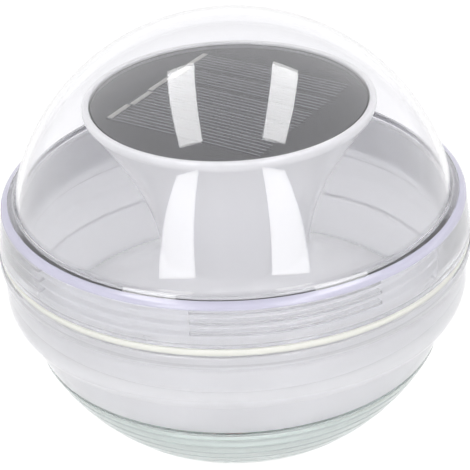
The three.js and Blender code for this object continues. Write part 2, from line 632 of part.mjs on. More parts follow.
// ---- Cells in their tray ----
function batteries() {
  const [insideX, insideY] = TRAY_INSIDE;
  const outer = solid(
    block(insideX + 2 * TRAY_WALL, insideY + 2 * TRAY_WALL, TRAY_BOTTOM, TRAY_BOTTOM + TRAY_HEIGHT),
  );
  const inner = solid(block(insideX, insideY, TRAY_BOTTOM + TRAY_WALL, TRAY_BOTTOM + 2 * TRAY_HEIGHT));
  add("battery_tray", geometryOf(outer.subtract(inner)), FINISH.black);
  for (let i = 0; i < BATTERY_COUNT; i++) {
    const turned = new THREE.Group();
    turned.position.set(0, (i - (BATTERY_COUNT - 1) / 2) * BATTERY_PITCH, BATTERY_Z);
    turned.rotation.y = (i % 2 ? -1 : 1) * (Math.PI / 2);
    light.add(turned);
    // In this group the cell points up Z: spring end down, nipple up.
    const start = -insideX / 2 + SPRING_ROOM;
    const end = start + CELL_LENGTH;
    const plateZ = insideX / 2 - GAP - PLATE_THICKNESS;
    const radius = CELL_DIAMETER / 2;
    const outline = [
      [0, start],
      [radius, start],
      [radius, end],
      [NIPPLE_RADIUS, end],
      [NIPPLE_RADIUS, plateZ - GAP],
      [0, plateZ - GAP],
    ];
    add(`battery_${i + 1}`, revolve(outline, 16), FINISH.battery, turned);
    add(`battery_spring_${i + 1}`, spring(-insideX / 2 + GAP, start - GAP), FINISH.steel, turned);
    const plate = block(PLATE_SIZE, PLATE_SIZE, plateZ, plateZ + PLATE_THICKNESS);
    add(`battery_plate_${i + 1}`, plate, FINISH.steel, turned);
  }
}

// A conical contact spring between two heights.
function spring(bottom, top) {
  const half = SPRING_WIRE / 2;
  const points = Array.from({ length: SPRING_STEPS + 1 }, (_, i) => {
    const t = i / SPRING_STEPS;
    const turn = 2 * Math.PI * SPRING_TURNS * t;
    const r = SPRING_BASE + (SPRING_TIP - SPRING_BASE) * t;
    return new THREE.Vector3(r * Math.cos(turn), r * Math.sin(turn), bottom + half + (top - bottom - 2 * half) * t);
  });
  const section = new THREE.Shape([
    new THREE.Vector2(half, half),
    new THREE.Vector2(-half, half),
    new THREE.Vector2(-half, -half),
    new THREE.Vector2(half, -half),
  ]);
  const path = new THREE.CatmullRomCurve3(points);
  return new THREE.ExtrudeGeometry(section, { steps: SPRING_STEPS, bevelEnabled: false, extrudePath: path });
}

// ---- Switch ----

// Moves a piece made at the origin, with X along the rim, to the switch's place.
function placeAtSwitch(geometry) {
  const place = onCircle(SCREW_CIRCLE, SWITCH_DEGREES);
  return geometry.rotateZ(radians(SWITCH_DEGREES + 90)).translate(place.x, place.y, 0);
}

function slideSwitch() {
  const [bodyX, bodyY, bodyZ] = SWITCH_BODY;
  const top = SWITCH_SEAT_TOP - SWITCH_SEAT[2] - GAP;
  add("switch_body", placeAtSwitch(block(bodyX, bodyY, top - bodyZ, top)), FINISH.black);
  const knobX = -KNOB_TRAVEL / 2;
  const knob = block(KNOB_SIZE[0], KNOB_SIZE[1], top + GAP, SWITCH_SEAT_TOP + KNOB_RISE).translate(knobX, 0, 0);
  add("switch_knob", placeAtSwitch(knob), FINISH.black);
}

// ---- Leads ----

// Each lead goes through its waypoints: from the panel or the switch, past the tray, into its socket.
function leads() {
  const plugZ = BOARD_TOP + GAP + SOCKET_SIZE[2] + GAP;
  const holeZ = RECESS_FLOOR - COLUMN_WALL;
  const trayTop = TRAY_BOTTOM + TRAY_HEIGHT;
  const poles = [["solar_lead_red", -1, FINISH.red], ["solar_lead_black", 1, FINISH.black]];
  poles.forEach(([name, side, material]) => {
    const shift = side * LEAD_SPACING;
    const points = [
      [2 * shift, 0, RECESS_FLOOR + GAP],
      [2 * shift, -1, holeZ - 2],
      [shift - 6, -16, WAIST_Z + 10],
      [shift - 15, -20, WAIST_Z - 16],
      [shift + SOLAR_SOCKET_X, -PARTS_Y, trayTop + 6],
      [shift + SOLAR_SOCKET_X, -PARTS_Y, plugZ],
    ];
    add(name, lead(points), material);
  });
  const tailZ = SWITCH_SEAT_TOP - SWITCH_SEAT[2] - 2 * GAP - SWITCH_BODY[2];
  const from = onCircle(SCREW_CIRCLE, SWITCH_DEGREES);
  [-LEAD_SPACING, LEAD_SPACING].forEach((shift, i) => {
    const points = [
      [from.x + shift, from.y, tailZ],
      [from.x + shift, from.y, tailZ - 2],
      [from.x + shift, from.y + 5, tailZ - 6],
      [shift - 10, -PARTS_Y - 14, BOARD_TOP + 13],
      [shift + SWITCH_SOCKET_X, -PARTS_Y - 2, BOARD_TOP + 12],
      [shift + SWITCH_SOCKET_X, -PARTS_Y, plugZ],
    ];
    add(`switch_lead_${i + 1}`, lead(points), FINISH.red);
  });
}

// ---- The light ----
add("clear_dome", clearDome(), FINISH.clear);
add("seal_ring", sealRing(), FINISH.silicone);
add("lower_bowl", lowerBowl(), FINISH.frosted);
add("solar_column", solarColumn(), FINISH.white);
screwPlaces().forEach(({ x, y }, i) => {
  add(`column_screw_${i + 1}`, screw(SCREW_LENGTH, BOSS_TOP + GAP).translate(x, y, 0), FINISH.steel);
});
solarPanel();
electronics();
batteries();
slideSwitch();
leads();

export default light;
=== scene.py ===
"""Looks of a floating solar pool light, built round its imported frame.

Sizes are millimetres in the classes' fields and metres in the meshes. Every piece takes its place from the
frame's boxes, through the Plan.
"""

import logging
import math
from dataclasses import dataclass, field
from enum import Enum
from typing import Callable, Iterable, Sequence

import bmesh
import bpy
from mathutils import Matrix, Quaternion, Vector

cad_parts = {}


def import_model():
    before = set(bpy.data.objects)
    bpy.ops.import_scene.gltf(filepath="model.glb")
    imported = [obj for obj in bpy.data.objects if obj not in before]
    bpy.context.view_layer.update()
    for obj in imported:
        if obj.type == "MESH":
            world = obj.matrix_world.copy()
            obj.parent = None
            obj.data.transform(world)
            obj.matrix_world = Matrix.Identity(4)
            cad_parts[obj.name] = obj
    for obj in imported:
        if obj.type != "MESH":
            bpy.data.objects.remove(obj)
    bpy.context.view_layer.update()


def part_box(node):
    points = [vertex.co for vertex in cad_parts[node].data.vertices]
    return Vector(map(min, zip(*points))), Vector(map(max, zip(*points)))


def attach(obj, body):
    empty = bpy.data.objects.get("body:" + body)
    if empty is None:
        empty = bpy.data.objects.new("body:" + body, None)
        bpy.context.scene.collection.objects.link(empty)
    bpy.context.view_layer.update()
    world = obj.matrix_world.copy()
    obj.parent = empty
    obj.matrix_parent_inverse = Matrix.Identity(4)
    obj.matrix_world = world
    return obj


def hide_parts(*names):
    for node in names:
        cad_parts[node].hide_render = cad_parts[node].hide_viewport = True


log = logging.getLogger("pool_light")

MM = 0.001
TURN = math.tau
ROUND_STEPS = 144
SMOOTH_ANGLE = math.radians(38)
# A fillet takes at most this share of its shorter side, and a guard loop just beyond each end keeps
# the flat faces' shading flat.
FILLET_SHARE = 0.42
GUARD = 0.2
GUARD_SHARE = 0.05
# In metres: vertices nearer than this are one, and an edge that climbs less than this is level.
DOUBLED = 2e-7
LEVEL = 1e-7

Point = tuple[float, float]
Colour = tuple[float, float, float]


class Body(Enum):
    """The moving bodies of the frame."""

    HOUSING = "housing"
    SEAL = "seal"
    DOME = "dome"
    KNOB = "switch_knob"


class Cut(Enum):
    """How one solid is combined with another."""

    JOIN = "UNION"
    REMOVE = "DIFFERENCE"


# ---------------------------------------------------------------------------------------------
# The plan: heights and radii that several pieces share
# ---------------------------------------------------------------------------------------------


@dataclass(frozen=True)
class Plan:
    """Shared heights and radii in millimetres, read from the frame's boxes.

    Args:
        seam: radius of the bowl's rim, the widest place.
        top: height of the dome's crown.
        skirt_bottom: lower edge of the dome's skirt.
        skirt_outer: radius of that edge.
        neck_top: upper edge of the bowl's neck.
        seal: lower and upper height of the seal, then its outer radius.
        column: lower and upper height of the column, then its foot's radius.
        board: lower and upper height of the board, then its radius.
    """

    seam: float
    top: float
    skirt_bottom: float
    skirt_outer: float
    neck_top: float
    seal: tuple[float, float, float]
    column: tuple[float, float, float]
    board: tuple[float, float, float]
    dome_radius: float = 87.5
    bowl_radius: float = 88.3
    bowl_drop: float = 3.8
    wall: float = 2.4
    gap: float = 0.3

    @classmethod
    def from_frame(cls) -> "Plan":
        """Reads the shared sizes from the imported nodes.

        Returns:
            The plan of this light.
        """
        dome, bowl = span("clear_dome"), span("lower_bowl")
        seal, column, board = span("seal_ring"), span("solar_column"), span("led_board")
        return cls(
            seam=bowl[1].x,
            top=dome[1].z,
            skirt_bottom=dome[0].z,
            skirt_outer=dome[1].x,
            neck_top=bowl[1].z,
            seal=(seal[0].z, seal[1].z, seal[1].x),
            column=(column[0].z, column[1].z, column[1].x),
            board=(board[0].z, board[1].z, board[1].x),
        )

    @property
    def dome_centre(self) -> float:
        """Height of the centre of the dome's sphere."""
        return self.top - self.dome_radius

    @property
    def bowl_centre(self) -> float:
        """Height of the centre of the bowl's sphere."""
        return self.dome_centre - self.bowl_drop

    @property
    def rim(self) -> float:
        """Height of the bowl's rim, which the seal lies on."""
        return self.seal[0] - self.gap

    @property
    def ledge(self) -> float:
        """Height of the ledge that the column's foot stands on."""
        return self.column[0] - self.gap


def span(node: str) -> tuple[Vector, Vector]:
    """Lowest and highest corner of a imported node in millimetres.

    Args:
        node: the node's name.

    Returns:
        The two corners.
    """
    low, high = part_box(node)
    return low / MM, high / MM


# ---------------------------------------------------------------------------------------------
# Outlines
# ---------------------------------------------------------------------------------------------


@dataclass(frozen=True)
class Corner:
    """One corner of an outline in the (radius, height) plane, with the radius it is rounded by."""

    r: float
    z: float
    fillet: float = 0.0


def rounded(corners: Sequence[Corner], closed: bool = False, steps: int = 5) -> list[Point]:
    """Rounds the corners of an outline.

    Args:
        corners: the outline's corners in order.
        closed: whether the last corner joins the first.
        steps: segments of each rounding.

    Returns:
        The points of the rounded outline.
    """
    count = len(corners)
    points: list[Point] = []
    for i, corner in enumerate(corners):
        at_end = not closed and i in (0, count - 1)
        here = Vector((corner.r, corner.z))
        if corner.fillet <= 0 or at_end:
            points.append((here.x, here.y))
            continue
        before = Vector((corners[i - 1].r, corners[i - 1].z)) - here
        after = Vector((corners[(i + 1) % count].r, corners[(i + 1) % count].z)) - here
        shorter = min(before.length, after.length)
        reach = min(corner.fillet, FILLET_SHARE * shorter)
        guard = min(GUARD, GUARD_SHARE * shorter)
        start, end = here + before.normalized() * reach, here + after.normalized() * reach
        points.append(tuple(start + before.normalized() * guard))
        for k in range(steps + 1):
            t = k / steps
            spot = start * (1 - t) ** 2 + here * 2 * t * (1 - t) + end * t**2
            points.append((spot.x, spot.y))
        points.append(tuple(end + after.normalized() * guard))
    return points


def disc_corners(radius: float, low: float, high: float, fillet: float) -> list[Corner]:
    """Corners of a disc's section.

    Args:
        radius: the disc's radius.
        low: height of its underside.
        high: height of its upper side.
        fillet: rounding of its rims.

    Returns:
        The corners, from the lower middle to the upper.
    """
    return [Corner(0, low), Corner(radius, low, fillet), Corner(radius, high, fillet), Corner(0, high)]


def sphere_arc(radius: float, centre: float, low: float, high: float, steps: int) -> list[Corner]:
    """Corners along a sphere's meridian between two heights.

    Args:
        radius: the sphere's radius.
        centre: height of its centre.
        low: height of the first corner.
        high: height of the last corner.
        steps: segments between them.

    Returns:
        The corners, both ends included.
    """
    start = math.asin(max(-1.0, min(1.0, (low - centre) / radius)))
    end = math.asin(max(-1.0, min(1.0, (high - centre) / radius)))
    turns = [start + (end - start) * i / steps for i in range(steps + 1)]
    return [Corner(abs(radius * math.cos(a)), centre + radius * math.sin(a)) for a in turns]


def sphere_radius(radius: float, centre: float, height: float) -> float:
    """Radius of a sphere's section at a height."""
    return math.sqrt(radius**2 - (height - centre) ** 2)


# ---------------------------------------------------------------------------------------------
# Mesh tools
# ---------------------------------------------------------------------------------------------


def piece_from(bm: bmesh.types.BMesh, name: str, sharp: float = SMOOTH_ANGLE) -> bpy.types.Object:
    """Turns a bmesh into a smooth-shaded piece at the origin.

    Args:
        bm: the mesh, in metres, freed here.
        name: the piece's name.
        sharp: edges that bend by more than this stay sharp.

    Returns:
        The new object.
    """
    mesh = bpy.data.meshes.new(name)
    bm.to_mesh(mesh)
    bm.free()
    piece = bpy.data.objects.new(name, mesh)
    bpy.context.scene.collection.objects.link(piece)
    shade(piece, sharp)
    return piece


def shade(piece: bpy.types.Object, sharp: float = SMOOTH_ANGLE) -> None:
    """Shades a piece smooth, apart from its sharp edges.

    Args:
        piece: the mesh object.
        sharp: edges that bend by more than this stay sharp.
    """
    piece.data.polygons.foreach_set("use_smooth", [True] * len(piece.data.polygons))
    piece.data.set_sharp_from_angle(angle=sharp)


def settle(bm: bmesh.types.BMesh) -> None:
    """Merges doubled vertices and turns every face outwards.

    Args:
        bm: the mesh to settle.
    """
    bmesh.ops.remove_doubles(bm, verts=bm.verts[:], dist=DOUBLED)
    bmesh.ops.recalc_face_normals(bm, faces=bm.faces[:])


def turned(
    name: str, outline: Sequence[Point], closed: bool = False, steps: int = ROUND_STEPS
) -> bpy.types.Object:
    """A turned piece: an outline spun once round Z.

    Args:
        name: the piece's name.
        outline: (radius, height) points in millimetres.
        closed: whether the outline closes on itself, and doesn't end on the axis.
        steps: flats round the piece.

    Returns:
        The new object.
    """
    bm = bmesh.new()
    spin_outline(bm, outline, closed, steps)
    settle(bm)
    return piece_from(bm, name)


def spin_outline(bm: bmesh.types.BMesh, outline: Sequence[Point], closed: bool, steps: int) -> None:
    """Spins an outline once round Z into an existing mesh.

    Args:
        bm: the mesh to add to.
        outline: (radius, height) points in millimetres.
        closed: whether the outline closes on itself.
        steps: flats round the piece.
    """
    verts = [bm.verts.new((max(r, 0.0) * MM, 0, z * MM)) for r, z in outline]
    ends = list(zip(verts, verts[1:]))
    if closed:
        ends.append((verts[-1], verts[0]))
    edges = [bm.edges.new(pair) for pair in ends]
    bmesh.ops.spin(
        bm,
        geom=verts + edges,
        cent=(0, 0, 0),
        axis=(0, 0, 1),
        dvec=(0, 0, 0),
        angle=TURN,
        steps=steps,
        use_merge=True,
        use_duplicate=False,
    )


def swept_section(
    bm: bmesh.types.BMesh, section: Sequence[Point], start: float, degrees: float, rise: float, steps: int
) -> None:
    """Sweeps a closed section round Z, climbing as it goes.

    Args:
        bm: the mesh to add to.
        section: (radius, height) corners in millimetres.
        start: angle of the first end, in degrees from +X.
        degrees: angle swept.
        rise: climb over the sweep, in millimetres.
        steps: segments of the sweep.
    """
    turn = Matrix.Rotation(math.radians(start), 3, "Z")
    verts = [bm.verts.new(turn @ Vector((r * MM, 0, z * MM))) for r, z in section]
    face = bm.faces.new(verts)
    bmesh.ops.spin(
        bm,
        geom=verts + list(face.edges) + [face],
        cent=(0, 0, 0),
        axis=(0, 0, 1),
        dvec=(0, 0, rise * MM / steps),
        angle=math.radians(degrees),
        steps=steps,
        use_merge=False,
        use_duplicate=False,
    )


def block(
    bm: bmesh.types.BMesh,
    size: Sequence[float],
    centre: Sequence[float],
    bevel: float = 0.0,
    turn: float = 0.0,
    segments: int = 2,
) -> list[bmesh.types.BMVert]:
    """Adds a block with softened edges.

    Args:
        bm: the mesh to add to.
        size: its three sizes in millimetres.
        centre: its middle in millimetres.
        bevel: width of the softened edges.
        turn: its turn about Z in degrees.
        segments: segments of each softened edge.

    Returns:
        The block's vertices.
    """
    place = Matrix.Translation(Vector(centre) * MM) @ Matrix.Rotation(math.radians(turn), 4, "Z")
    scale = Matrix.Diagonal((*(s * MM for s in size), 1))
    made = bmesh.ops.create_cube(bm, size=1.0, matrix=place @ scale)["verts"]
    if bevel <= 0:
        return made
    edges = list({e for v in made for e in v.link_edges})
    return soften(bm, edges, bevel, segments)


def boxed(
    name: str, size: Sequence[float], centre: Sequence[float], bevel: float = 0.0, turn: float = 0.0
) -> bpy.types.Object:
    """A block as a piece of its own.

    Args:
        name: the piece's name.
        size: its three sizes in millimetres.
        centre: its middle in millimetres.
        bevel: width of the softened edges.
        turn: its turn about Z in degrees.

    Returns:
        The new object.
    """
    bm = bmesh.new()
    block(bm, size, centre, bevel, turn)
    return piece_from(bm, name)


def assign(verts: Iterable[bmesh.types.BMVert], index: int) -> None:
    """Gives the faces round some vertices a material slot.

    Args:
        verts: the vertices.
        index: the slot's number.
    """
    for vert in verts:
        for face in vert.link_faces:
            face.material_index = index


def soften(
    bm: bmesh.types.BMesh, edges: Iterable[bmesh.types.BMEdge], width: float, segments: int = 2
) -> list[bmesh.types.BMVert]:
    """Bevels edges.

    Args:
        bm: the mesh.
        edges: the edges to bevel.
        width: the bevel's width in millimetres.
        segments: its segments.

    Returns:
        The vertices of the bevels.
    """
    made = bmesh.ops.bevel(
        bm,
        geom=list(edges),
        offset=width * MM,
        offset_type="OFFSET",
        segments=segments,
        profile=0.5,
        affect="EDGES",
        material=-1,
        clamp_overlap=True,
    )
    return made["verts"]


def rod(
    bm: bmesh.types.BMesh,
    radius: float,
    low: float,
    high: float,
    at: Sequence[float] = (0.0, 0.0),
    bevel: float = 0.0,
    sides: int = 32,
) -> None:
    """Adds an upright round rod with softened rims.

    Args:
        bm: the mesh to add to.
        radius: its radius in millimetres.
        low: height of its lower end.
        high: height of its upper end.
        at: its axis.
        bevel: width of the softened rims.
        sides: flats round it.
    """
    made = bmesh.ops.create_cone(
        bm,
        cap_ends=True,
        segments=sides,
        radius1=radius * MM,
        radius2=radius * MM,
        depth=(high - low) * MM,
        matrix=Matrix.Translation(Vector((at[0], at[1], (low + high) / 2)) * MM),
    )["verts"]
    if bevel > 0:
        edges = {e for v in made for e in v.link_edges}
        soften(bm, [e for e in edges if abs(e.verts[0].co.z - e.verts[1].co.z) < LEVEL], bevel)


def combined(base: bpy.types.Object, tool: bpy.types.Object, how: Cut) -> bpy.types.Object:
    """Joins a solid to another, or cuts it out of it, and discards the tool.

    Args:
        base: the piece that is kept.
        tool: the solid joined or cut out.
        how: which of the two.

    Returns:
        The base, with its new mesh.
    """
    step = base.modifiers.new(how.name.lower(), "BOOLEAN")
    step.operation = how.value
    step.solver = "EXACT"
    step.object = tool
    depsgraph = bpy.context.evaluated_depsgraph_get()
    mesh = bpy.data.meshes.new_from_object(base.evaluated_get(depsgraph), depsgraph=depsgraph)
    base.modifiers.clear()
    base.data = mesh
    mesh.name = base.name
    spare = tool.data
    bpy.data.objects.remove(tool)
    bpy.data.meshes.remove(spare)
    shade(base)
    return base


def on_circle(radius: float, degrees: float, height: float = 0.0) -> Vector:
    """A place on a circle round Z, in the units of the radius."""
    angle = math.radians(degrees)
    return Vector((radius * math.cos(angle), radius * math.sin(angle), height))


def tube(name: str, route: Sequence[Vector], radius: float, sides: int = 12) -> bpy.types.Object:
    """A round wire along a smooth route.

    Args:
        name: the piece's name.
        route: points of the route in millimetres.
        radius: the wire's radius in millimetres.
        sides: flats round it.

    Returns:
        The new object.
    """
    bm = bmesh.new()
    path = smooth_route(route)
    add_tube(bm, path, radius, sides)
    settle(bm)
    return piece_from(bm, name)


def smooth_route(route: Sequence[Vector], steps: int = 8) -> list[Vector]:
    """Points on a Catmull-Rom curve through a route.

    Args:
        route: the points it goes through.
        steps: points for each stretch.

    Returns:
        The curve's points.
    """
    ends = [route[0] * 2 - route[1], *route, route[-1] * 2 - route[-2]]
    path: list[Vector] = []
    for a, b, c, d in zip(ends, ends[1:], ends[2:], ends[3:]):
        for i in range(steps):
            t = i / steps
            bend = (a * 2 - b * 5 + c * 4 - d) * t**2 + (b * 3 - a - c * 3 + d) * t**3
            path.append((b * 2 + (c - a) * t + bend) * 0.5)
    path.append(route[-1].copy())
    return path


def add_tube(bm: bmesh.types.BMesh, path: Sequence[Vector], radius: float, sides: int) -> None:
    """Adds a closed round tube: a disc extruded from point to point and turned to the path.

    Args:
        bm: the mesh to add to.
        path: the middle line in millimetres.
        radius: the tube's radius.
        sides: flats round it.
    """
    heading = (path[1] - path[0]).normalized()
    facing = Vector((0, 0, 1)).rotation_difference(heading)
    place = Matrix.Translation(path[0] * MM) @ facing.to_matrix().to_4x4()
    ring = bmesh.ops.create_circle(bm, cap_ends=True, segments=sides, radius=radius * MM, matrix=place)
    face = next(f for f in ring["verts"][0].link_faces if len(f.verts) == sides)
    for i in range(1, len(path)):
        made = bmesh.ops.extrude_face_region(bm, geom=[face])["geom"]
        verts = [g for g in made if isinstance(g, bmesh.types.BMVert)]
        following = path[min(i + 1, len(path) - 1)] - path[i - 1]
        turn: Quaternion = heading.rotation_difference(following)
        bmesh.ops.translate(bm, verts=verts, vec=(path[i] - path[i - 1]) * MM)
        bmesh.ops.rotate(bm, verts=verts, cent=path[i] * MM, matrix=turn.to_matrix())
        heading = following.normalized()
        face = next(g for g in made if isinstance(g, bmesh.types.BMFace))


# ---------------------------------------------------------------------------------------------
# Finishes
# ---------------------------------------------------------------------------------------------


class Nodes:
    """A short way to write a material's node tree on object coordinates."""

    def __init__(self, name: str) -> None:
        """Starts a material.

        Args:
            name: the material's name.
        """
        self.material = bpy.data.materials.new(name)
        self.material.use_nodes = True
        self.tree = self.material.node_tree
        self.shader = self.tree.nodes["Principled BSDF"]
        self.place = self.tree.nodes.new("ShaderNodeTexCoord").outputs["Object"]

    def set(self, **values: object) -> None:
        """Sets the shader's own sockets, named with underscores for spaces.

        Args:
            values: socket names and their constants.
        """
        for name, value in values.items():
            socket = self.shader.inputs[name.replace("_", " ")]
            socket.default_value = (*value, 1.0) if isinstance(value, tuple) else value

    def link(self, output: bpy.types.NodeSocket, socket: str) -> None:
        """Feeds one of the shader's sockets."""
        self.tree.links.new(output, self.shader.inputs[socket])

    def node(self, kind: str, **inputs: object) -> bpy.types.Node:
        """Adds a node and feeds or sets its inputs.

        Args:
            kind: the node type without its ShaderNode prefix.
            inputs: input names, with underscores for spaces, and a socket or constant for each.

        Returns:
            The node.
        """
        made = self.tree.nodes.new("ShaderNode" + kind)
        for name, value in inputs.items():
            socket = made.inputs[name.replace("_", " ")]
            if isinstance(value, bpy.types.NodeSocket):
                self.tree.links.new(value, socket)
            else:
                socket.default_value = value
        return made

    def noise(self, scale: float, detail: float = 3.0) -> bpy.types.NodeSocket:
        """Noise from 0 to 1 on the piece.

        Args:
            scale: cycles per metre.
            detail: octaves.

        Returns:
            The noise's output.
        """
        return self.node("TexNoise", Vector=self.place, Scale=scale, Detail=detail).outputs["Fac"]

    def between(self, source: bpy.types.NodeSocket, low: float, high: float) -> bpy.types.NodeSocket:
        """Stretches a noise's middle range to two values.

        Args:
            source: a value that mostly lies between 0.3 and 0.7.
            low: the result at 0.3.
            high: the result at 0.7.

        Returns:
            The mapped value.
        """
        made = self.node("MapRange", Value=source, From_Min=0.3, From_Max=0.7, To_Min=low, To_Max=high)
        return made.outputs["Result"]

    def tint(self, source: bpy.types.NodeSocket, low: object, high: Colour) -> bpy.types.NodeSocket:
        """Blends two colours by a value.

        Args:
            source: the value, 0 for the first colour and 1 for the second.
            low: the first colour, or the socket that gives it.
            high: the second colour.

        Returns:
            The colour.
        """
        mix = self.tree.nodes.new("ShaderNodeMix")
        mix.data_type = "RGBA"
        factor, _, _, _, _, _, first, second = mix.inputs[:8]
        self.tree.links.new(source, factor)
        if isinstance(low, bpy.types.NodeSocket):
            self.tree.links.new(low, first)
        else:
            first.default_value = (*low, 1.0)
        second.default_value = (*high, 1.0)
        return mix.outputs[2]

    def bump(self, source: bpy.types.NodeSocket, strength: float, height: float) -> None:
        """Feeds the shader's normal from a height.

        Args:
            source: the height, 0 to 1.
            strength: how much of it shows.
            height: its depth in millimetres.
        """
        made = self.node("Bump", Height=source, Strength=strength, Distance=height * MM)
        self.link(made.outputs["Normal"], "Normal")

    def math(self, how: str, first: object, second: object = 0.0) -> bpy.types.NodeSocket:
        """A Math node.

        Args:
            how: the operation's name.
            first: a socket or a number.
            second: a socket or a number.

        Returns:
            The result.
        """
        made = self.tree.nodes.new("ShaderNodeMath")
        made.operation = how
        for socket, value in zip(made.inputs, (first, second)):
            if isinstance(value, bpy.types.NodeSocket):
                self.tree.links.new(value, socket)
            else:
                socket.default_value = value
        return made.outputs[0]

    def along(self, axis: int, turn: float = 0.0) -> bpy.types.NodeSocket:
        """One of the piece's coordinates in metres, after a turn about Z.

        Args:
            axis: 0, 1 or 2.
            turn: the turn in degrees.

        Returns:
            The coordinate.
        """
        turned_place = self.node("Mapping", Vector=self.place)
        turned_place.inputs["Rotation"].default_value = (0, 0, math.radians(turn))
        return self.node("SeparateXYZ", Vector=turned_place.outputs["Vector"]).outputs[axis]


@dataclass(frozen=True)
class Finish:
    """A finish with a colour that varies a little, and a roughness and surface of its own grain."""

    name: str
    colour: Colour
    slot: str
    shade: float = 0.04
    roughness: tuple[float, float] = (0.3, 0.4)
    grain: float = 400.0
    bump: float = 0.02
    metallic: float = 0.0
    specular: float = 0.5

    def material(self) -> bpy.types.Material:
        """The finish's material, made once.

        Returns:
            The material.
        """
        label = f"{self.name}_look"
        made = bpy.data.materials.get(label)
        return made or self.build(Nodes(label))

    def blotches(self, nodes: Nodes, breadth: float, detail: float) -> bpy.types.NodeSocket:
        """The finish's colour with its broad, faint variation.

        Args:
            nodes: the tree.
            breadth: how many times broader than the grain.
            detail: octaves.

        Returns:
            The colour.
        """
        broad = nodes.between(nodes.noise(self.grain / breadth, detail), 0.0, 1.0)
        return nodes.tint(broad, tuple(c * (1 - self.shade) for c in self.colour), self.colour)

    def build(self, nodes: Nodes) -> bpy.types.Material:
        """Writes the node tree: broad colour variation, fine roughness and bump.

        Args:
            nodes: the tree.

        Returns:
            The material.
        """
        nodes.link(self.blotches(nodes, 8, 2.0), "Base Color")
        fine = nodes.noise(self.grain, 4.0)
        nodes.link(nodes.between(fine, *self.roughness), "Roughness")
        nodes.bump(fine, 0.4, self.bump)
        nodes.set(Metallic=self.metallic, Specular_IOR_Level=self.specular)
        return nodes.material


@dataclass(frozen=True)
class ClearPlastic(Finish):
    """Clear moulded plastic: sharp and glossy, with the faint waves of its moulding."""

    ior: float = 1.49
    waves: float = 0.02

    def build(self, nodes: Nodes) -> bpy.types.Material:
        """Writes the node tree.

        Args:
            nodes: the tree.

        Returns:
            The material.
        """
        fine = nodes.noise(self.grain, 3.0)
        nodes.link(nodes.between(fine, *self.roughness), "Roughness")
        nodes.bump(nodes.noise(self.grain / 6, 2.0), 0.25, self.waves)
        nodes.set(Transmission_Weight=1.0, IOR=self.ior)
        nodes.link(self.blotches(nodes, 10, 1.0), "Base Color")
        return nodes.material


@dataclass(frozen=True)
class FrostedPlastic(Finish):
    """Plastic with a spark-eroded, light-scattering surface: partly see-through, partly white."""

    ior: float = 1.49
    through: float = 0.7

    def build(self, nodes: Nodes) -> bpy.types.Material:
        """Writes the node tree.

        Args:
            nodes: the tree.

        Returns:
            The material.
        """
        material = super().build(nodes)
        nodes.set(Transmission_Weight=self.through, IOR=self.ior)
        return material


@dataclass(frozen=True)
class SolarCell(Finish):
    """Printed silicon: dark, faintly blotched, with fine silver fingers along each strip."""

    turn: float = 33.0
    pitch: float = 2.2
    line: float = 0.3
    silver: Colour = (0.5, 0.51, 0.54)

    def build(self, nodes: Nodes) -> bpy.types.Material:
        """Writes the node tree.

        Args:
            nodes: the tree.

        Returns:
            The material.
        """
        across = nodes.along(1, self.turn)
        phase = nodes.math("FRACT", nodes.math("DIVIDE", across, self.pitch * MM))
        finger = nodes.math("LESS_THAN", phase, self.line / self.pitch)
        nodes.link(nodes.tint(finger, self.blotches(nodes, 8, 3.0), self.silver), "Base Color")
        nodes.link(nodes.between(nodes.noise(self.grain, 3.0), *self.roughness), "Roughness")
        nodes.bump(nodes.noise(self.grain * 2, 2.0), 0.3, self.bump)
        nodes.set(Specular_IOR_Level=self.specular)
        return nodes.material


@dataclass(frozen=True)
class SolderMask(Finish):
    """Green board: solder mask over faintly raised copper tracks."""

    track: float = 2.0

    def build(self, nodes: Nodes) -> bpy.types.Material:
        """Writes the node tree.

        Args:
            nodes: the tree.

        Returns:
            The material.
        """
        cells = nodes.tree.nodes.new("ShaderNodeTexVoronoi")
        cells.distance = "MANHATTAN"
        cells.feature = "F1"
        cells.inputs["Scale"].default_value = 1 / (self.track * 2 * MM)
        nodes.tree.links.new(nodes.place, cells.inputs["Vector"])
        tracks = nodes.math("GREATER_THAN", cells.outputs["Distance"], 0.55)
        pale = tuple(min(1.0, c * 1.5 + 0.02) for c in self.colour)
        nodes.link(nodes.tint(tracks, self.colour, pale), "Base Color")
        nodes.link(nodes.between(nodes.noise(self.grain, 2.0), *self.roughness), "Roughness")
        nodes.bump(tracks, 0.5, self.bump)
        return nodes.material


CLEAR = ClearPlastic("clear_plastic", (0.975, 0.973, 0.99), "clear_plastic", 0.005, (0.0, 0.02), 90.0)
CLEAR_BOWL = ClearPlastic("clear_bowl", (0.985, 0.985, 1.0), "frosted_plastic", 0.005, (0.01, 0.04), 90.0)
CLEAR_BASE = FrostedPlastic(
    "clear_base", (0.9, 0.96, 0.95), "frosted_plastic", 0.01, (0.03, 0.08), 90.0, through=0.74
)
SKIRT = FrostedPlastic(
    "dome_skirt", (0.97, 0.97, 1.0), "clear_plastic", 0.005, (0.02, 0.05), 90.0, through=0.8
)
BAND = FrostedPlastic(
    "bowl_rim", (0.9, 0.9, 0.93), "frosted_plastic", 0.005, (0.08, 0.14), 90.0, through=0.75
)
# Painted shade: a dark violet, half-opaque colour that stands in for the dark band that refraction makes in
# the clear flange.
FLANGE_PAINTED_SHADE = FrostedPlastic(
    "flange_painted_shade", (0.5, 0.49, 0.6), "clear_plastic", 0.03, (0.12, 0.2), 90.0, through=0.25
)
FROSTED = FrostedPlastic(
    "frosted_plastic", (0.975, 0.975, 1.0), "frosted_plastic", 0.005, (0.42, 0.5), 900.0, through=0.3
)
SILICONE = FrostedPlastic(
    "silicone", (0.87, 0.87, 0.82), "silicone", 0.03, (0.35, 0.45), 500.0, ior=1.41, through=0.35
)
WHITE = Finish("white_plastic", (0.97, 0.97, 0.98), "white_plastic", 0.015, (0.14, 0.2), 200.0, 0.01)
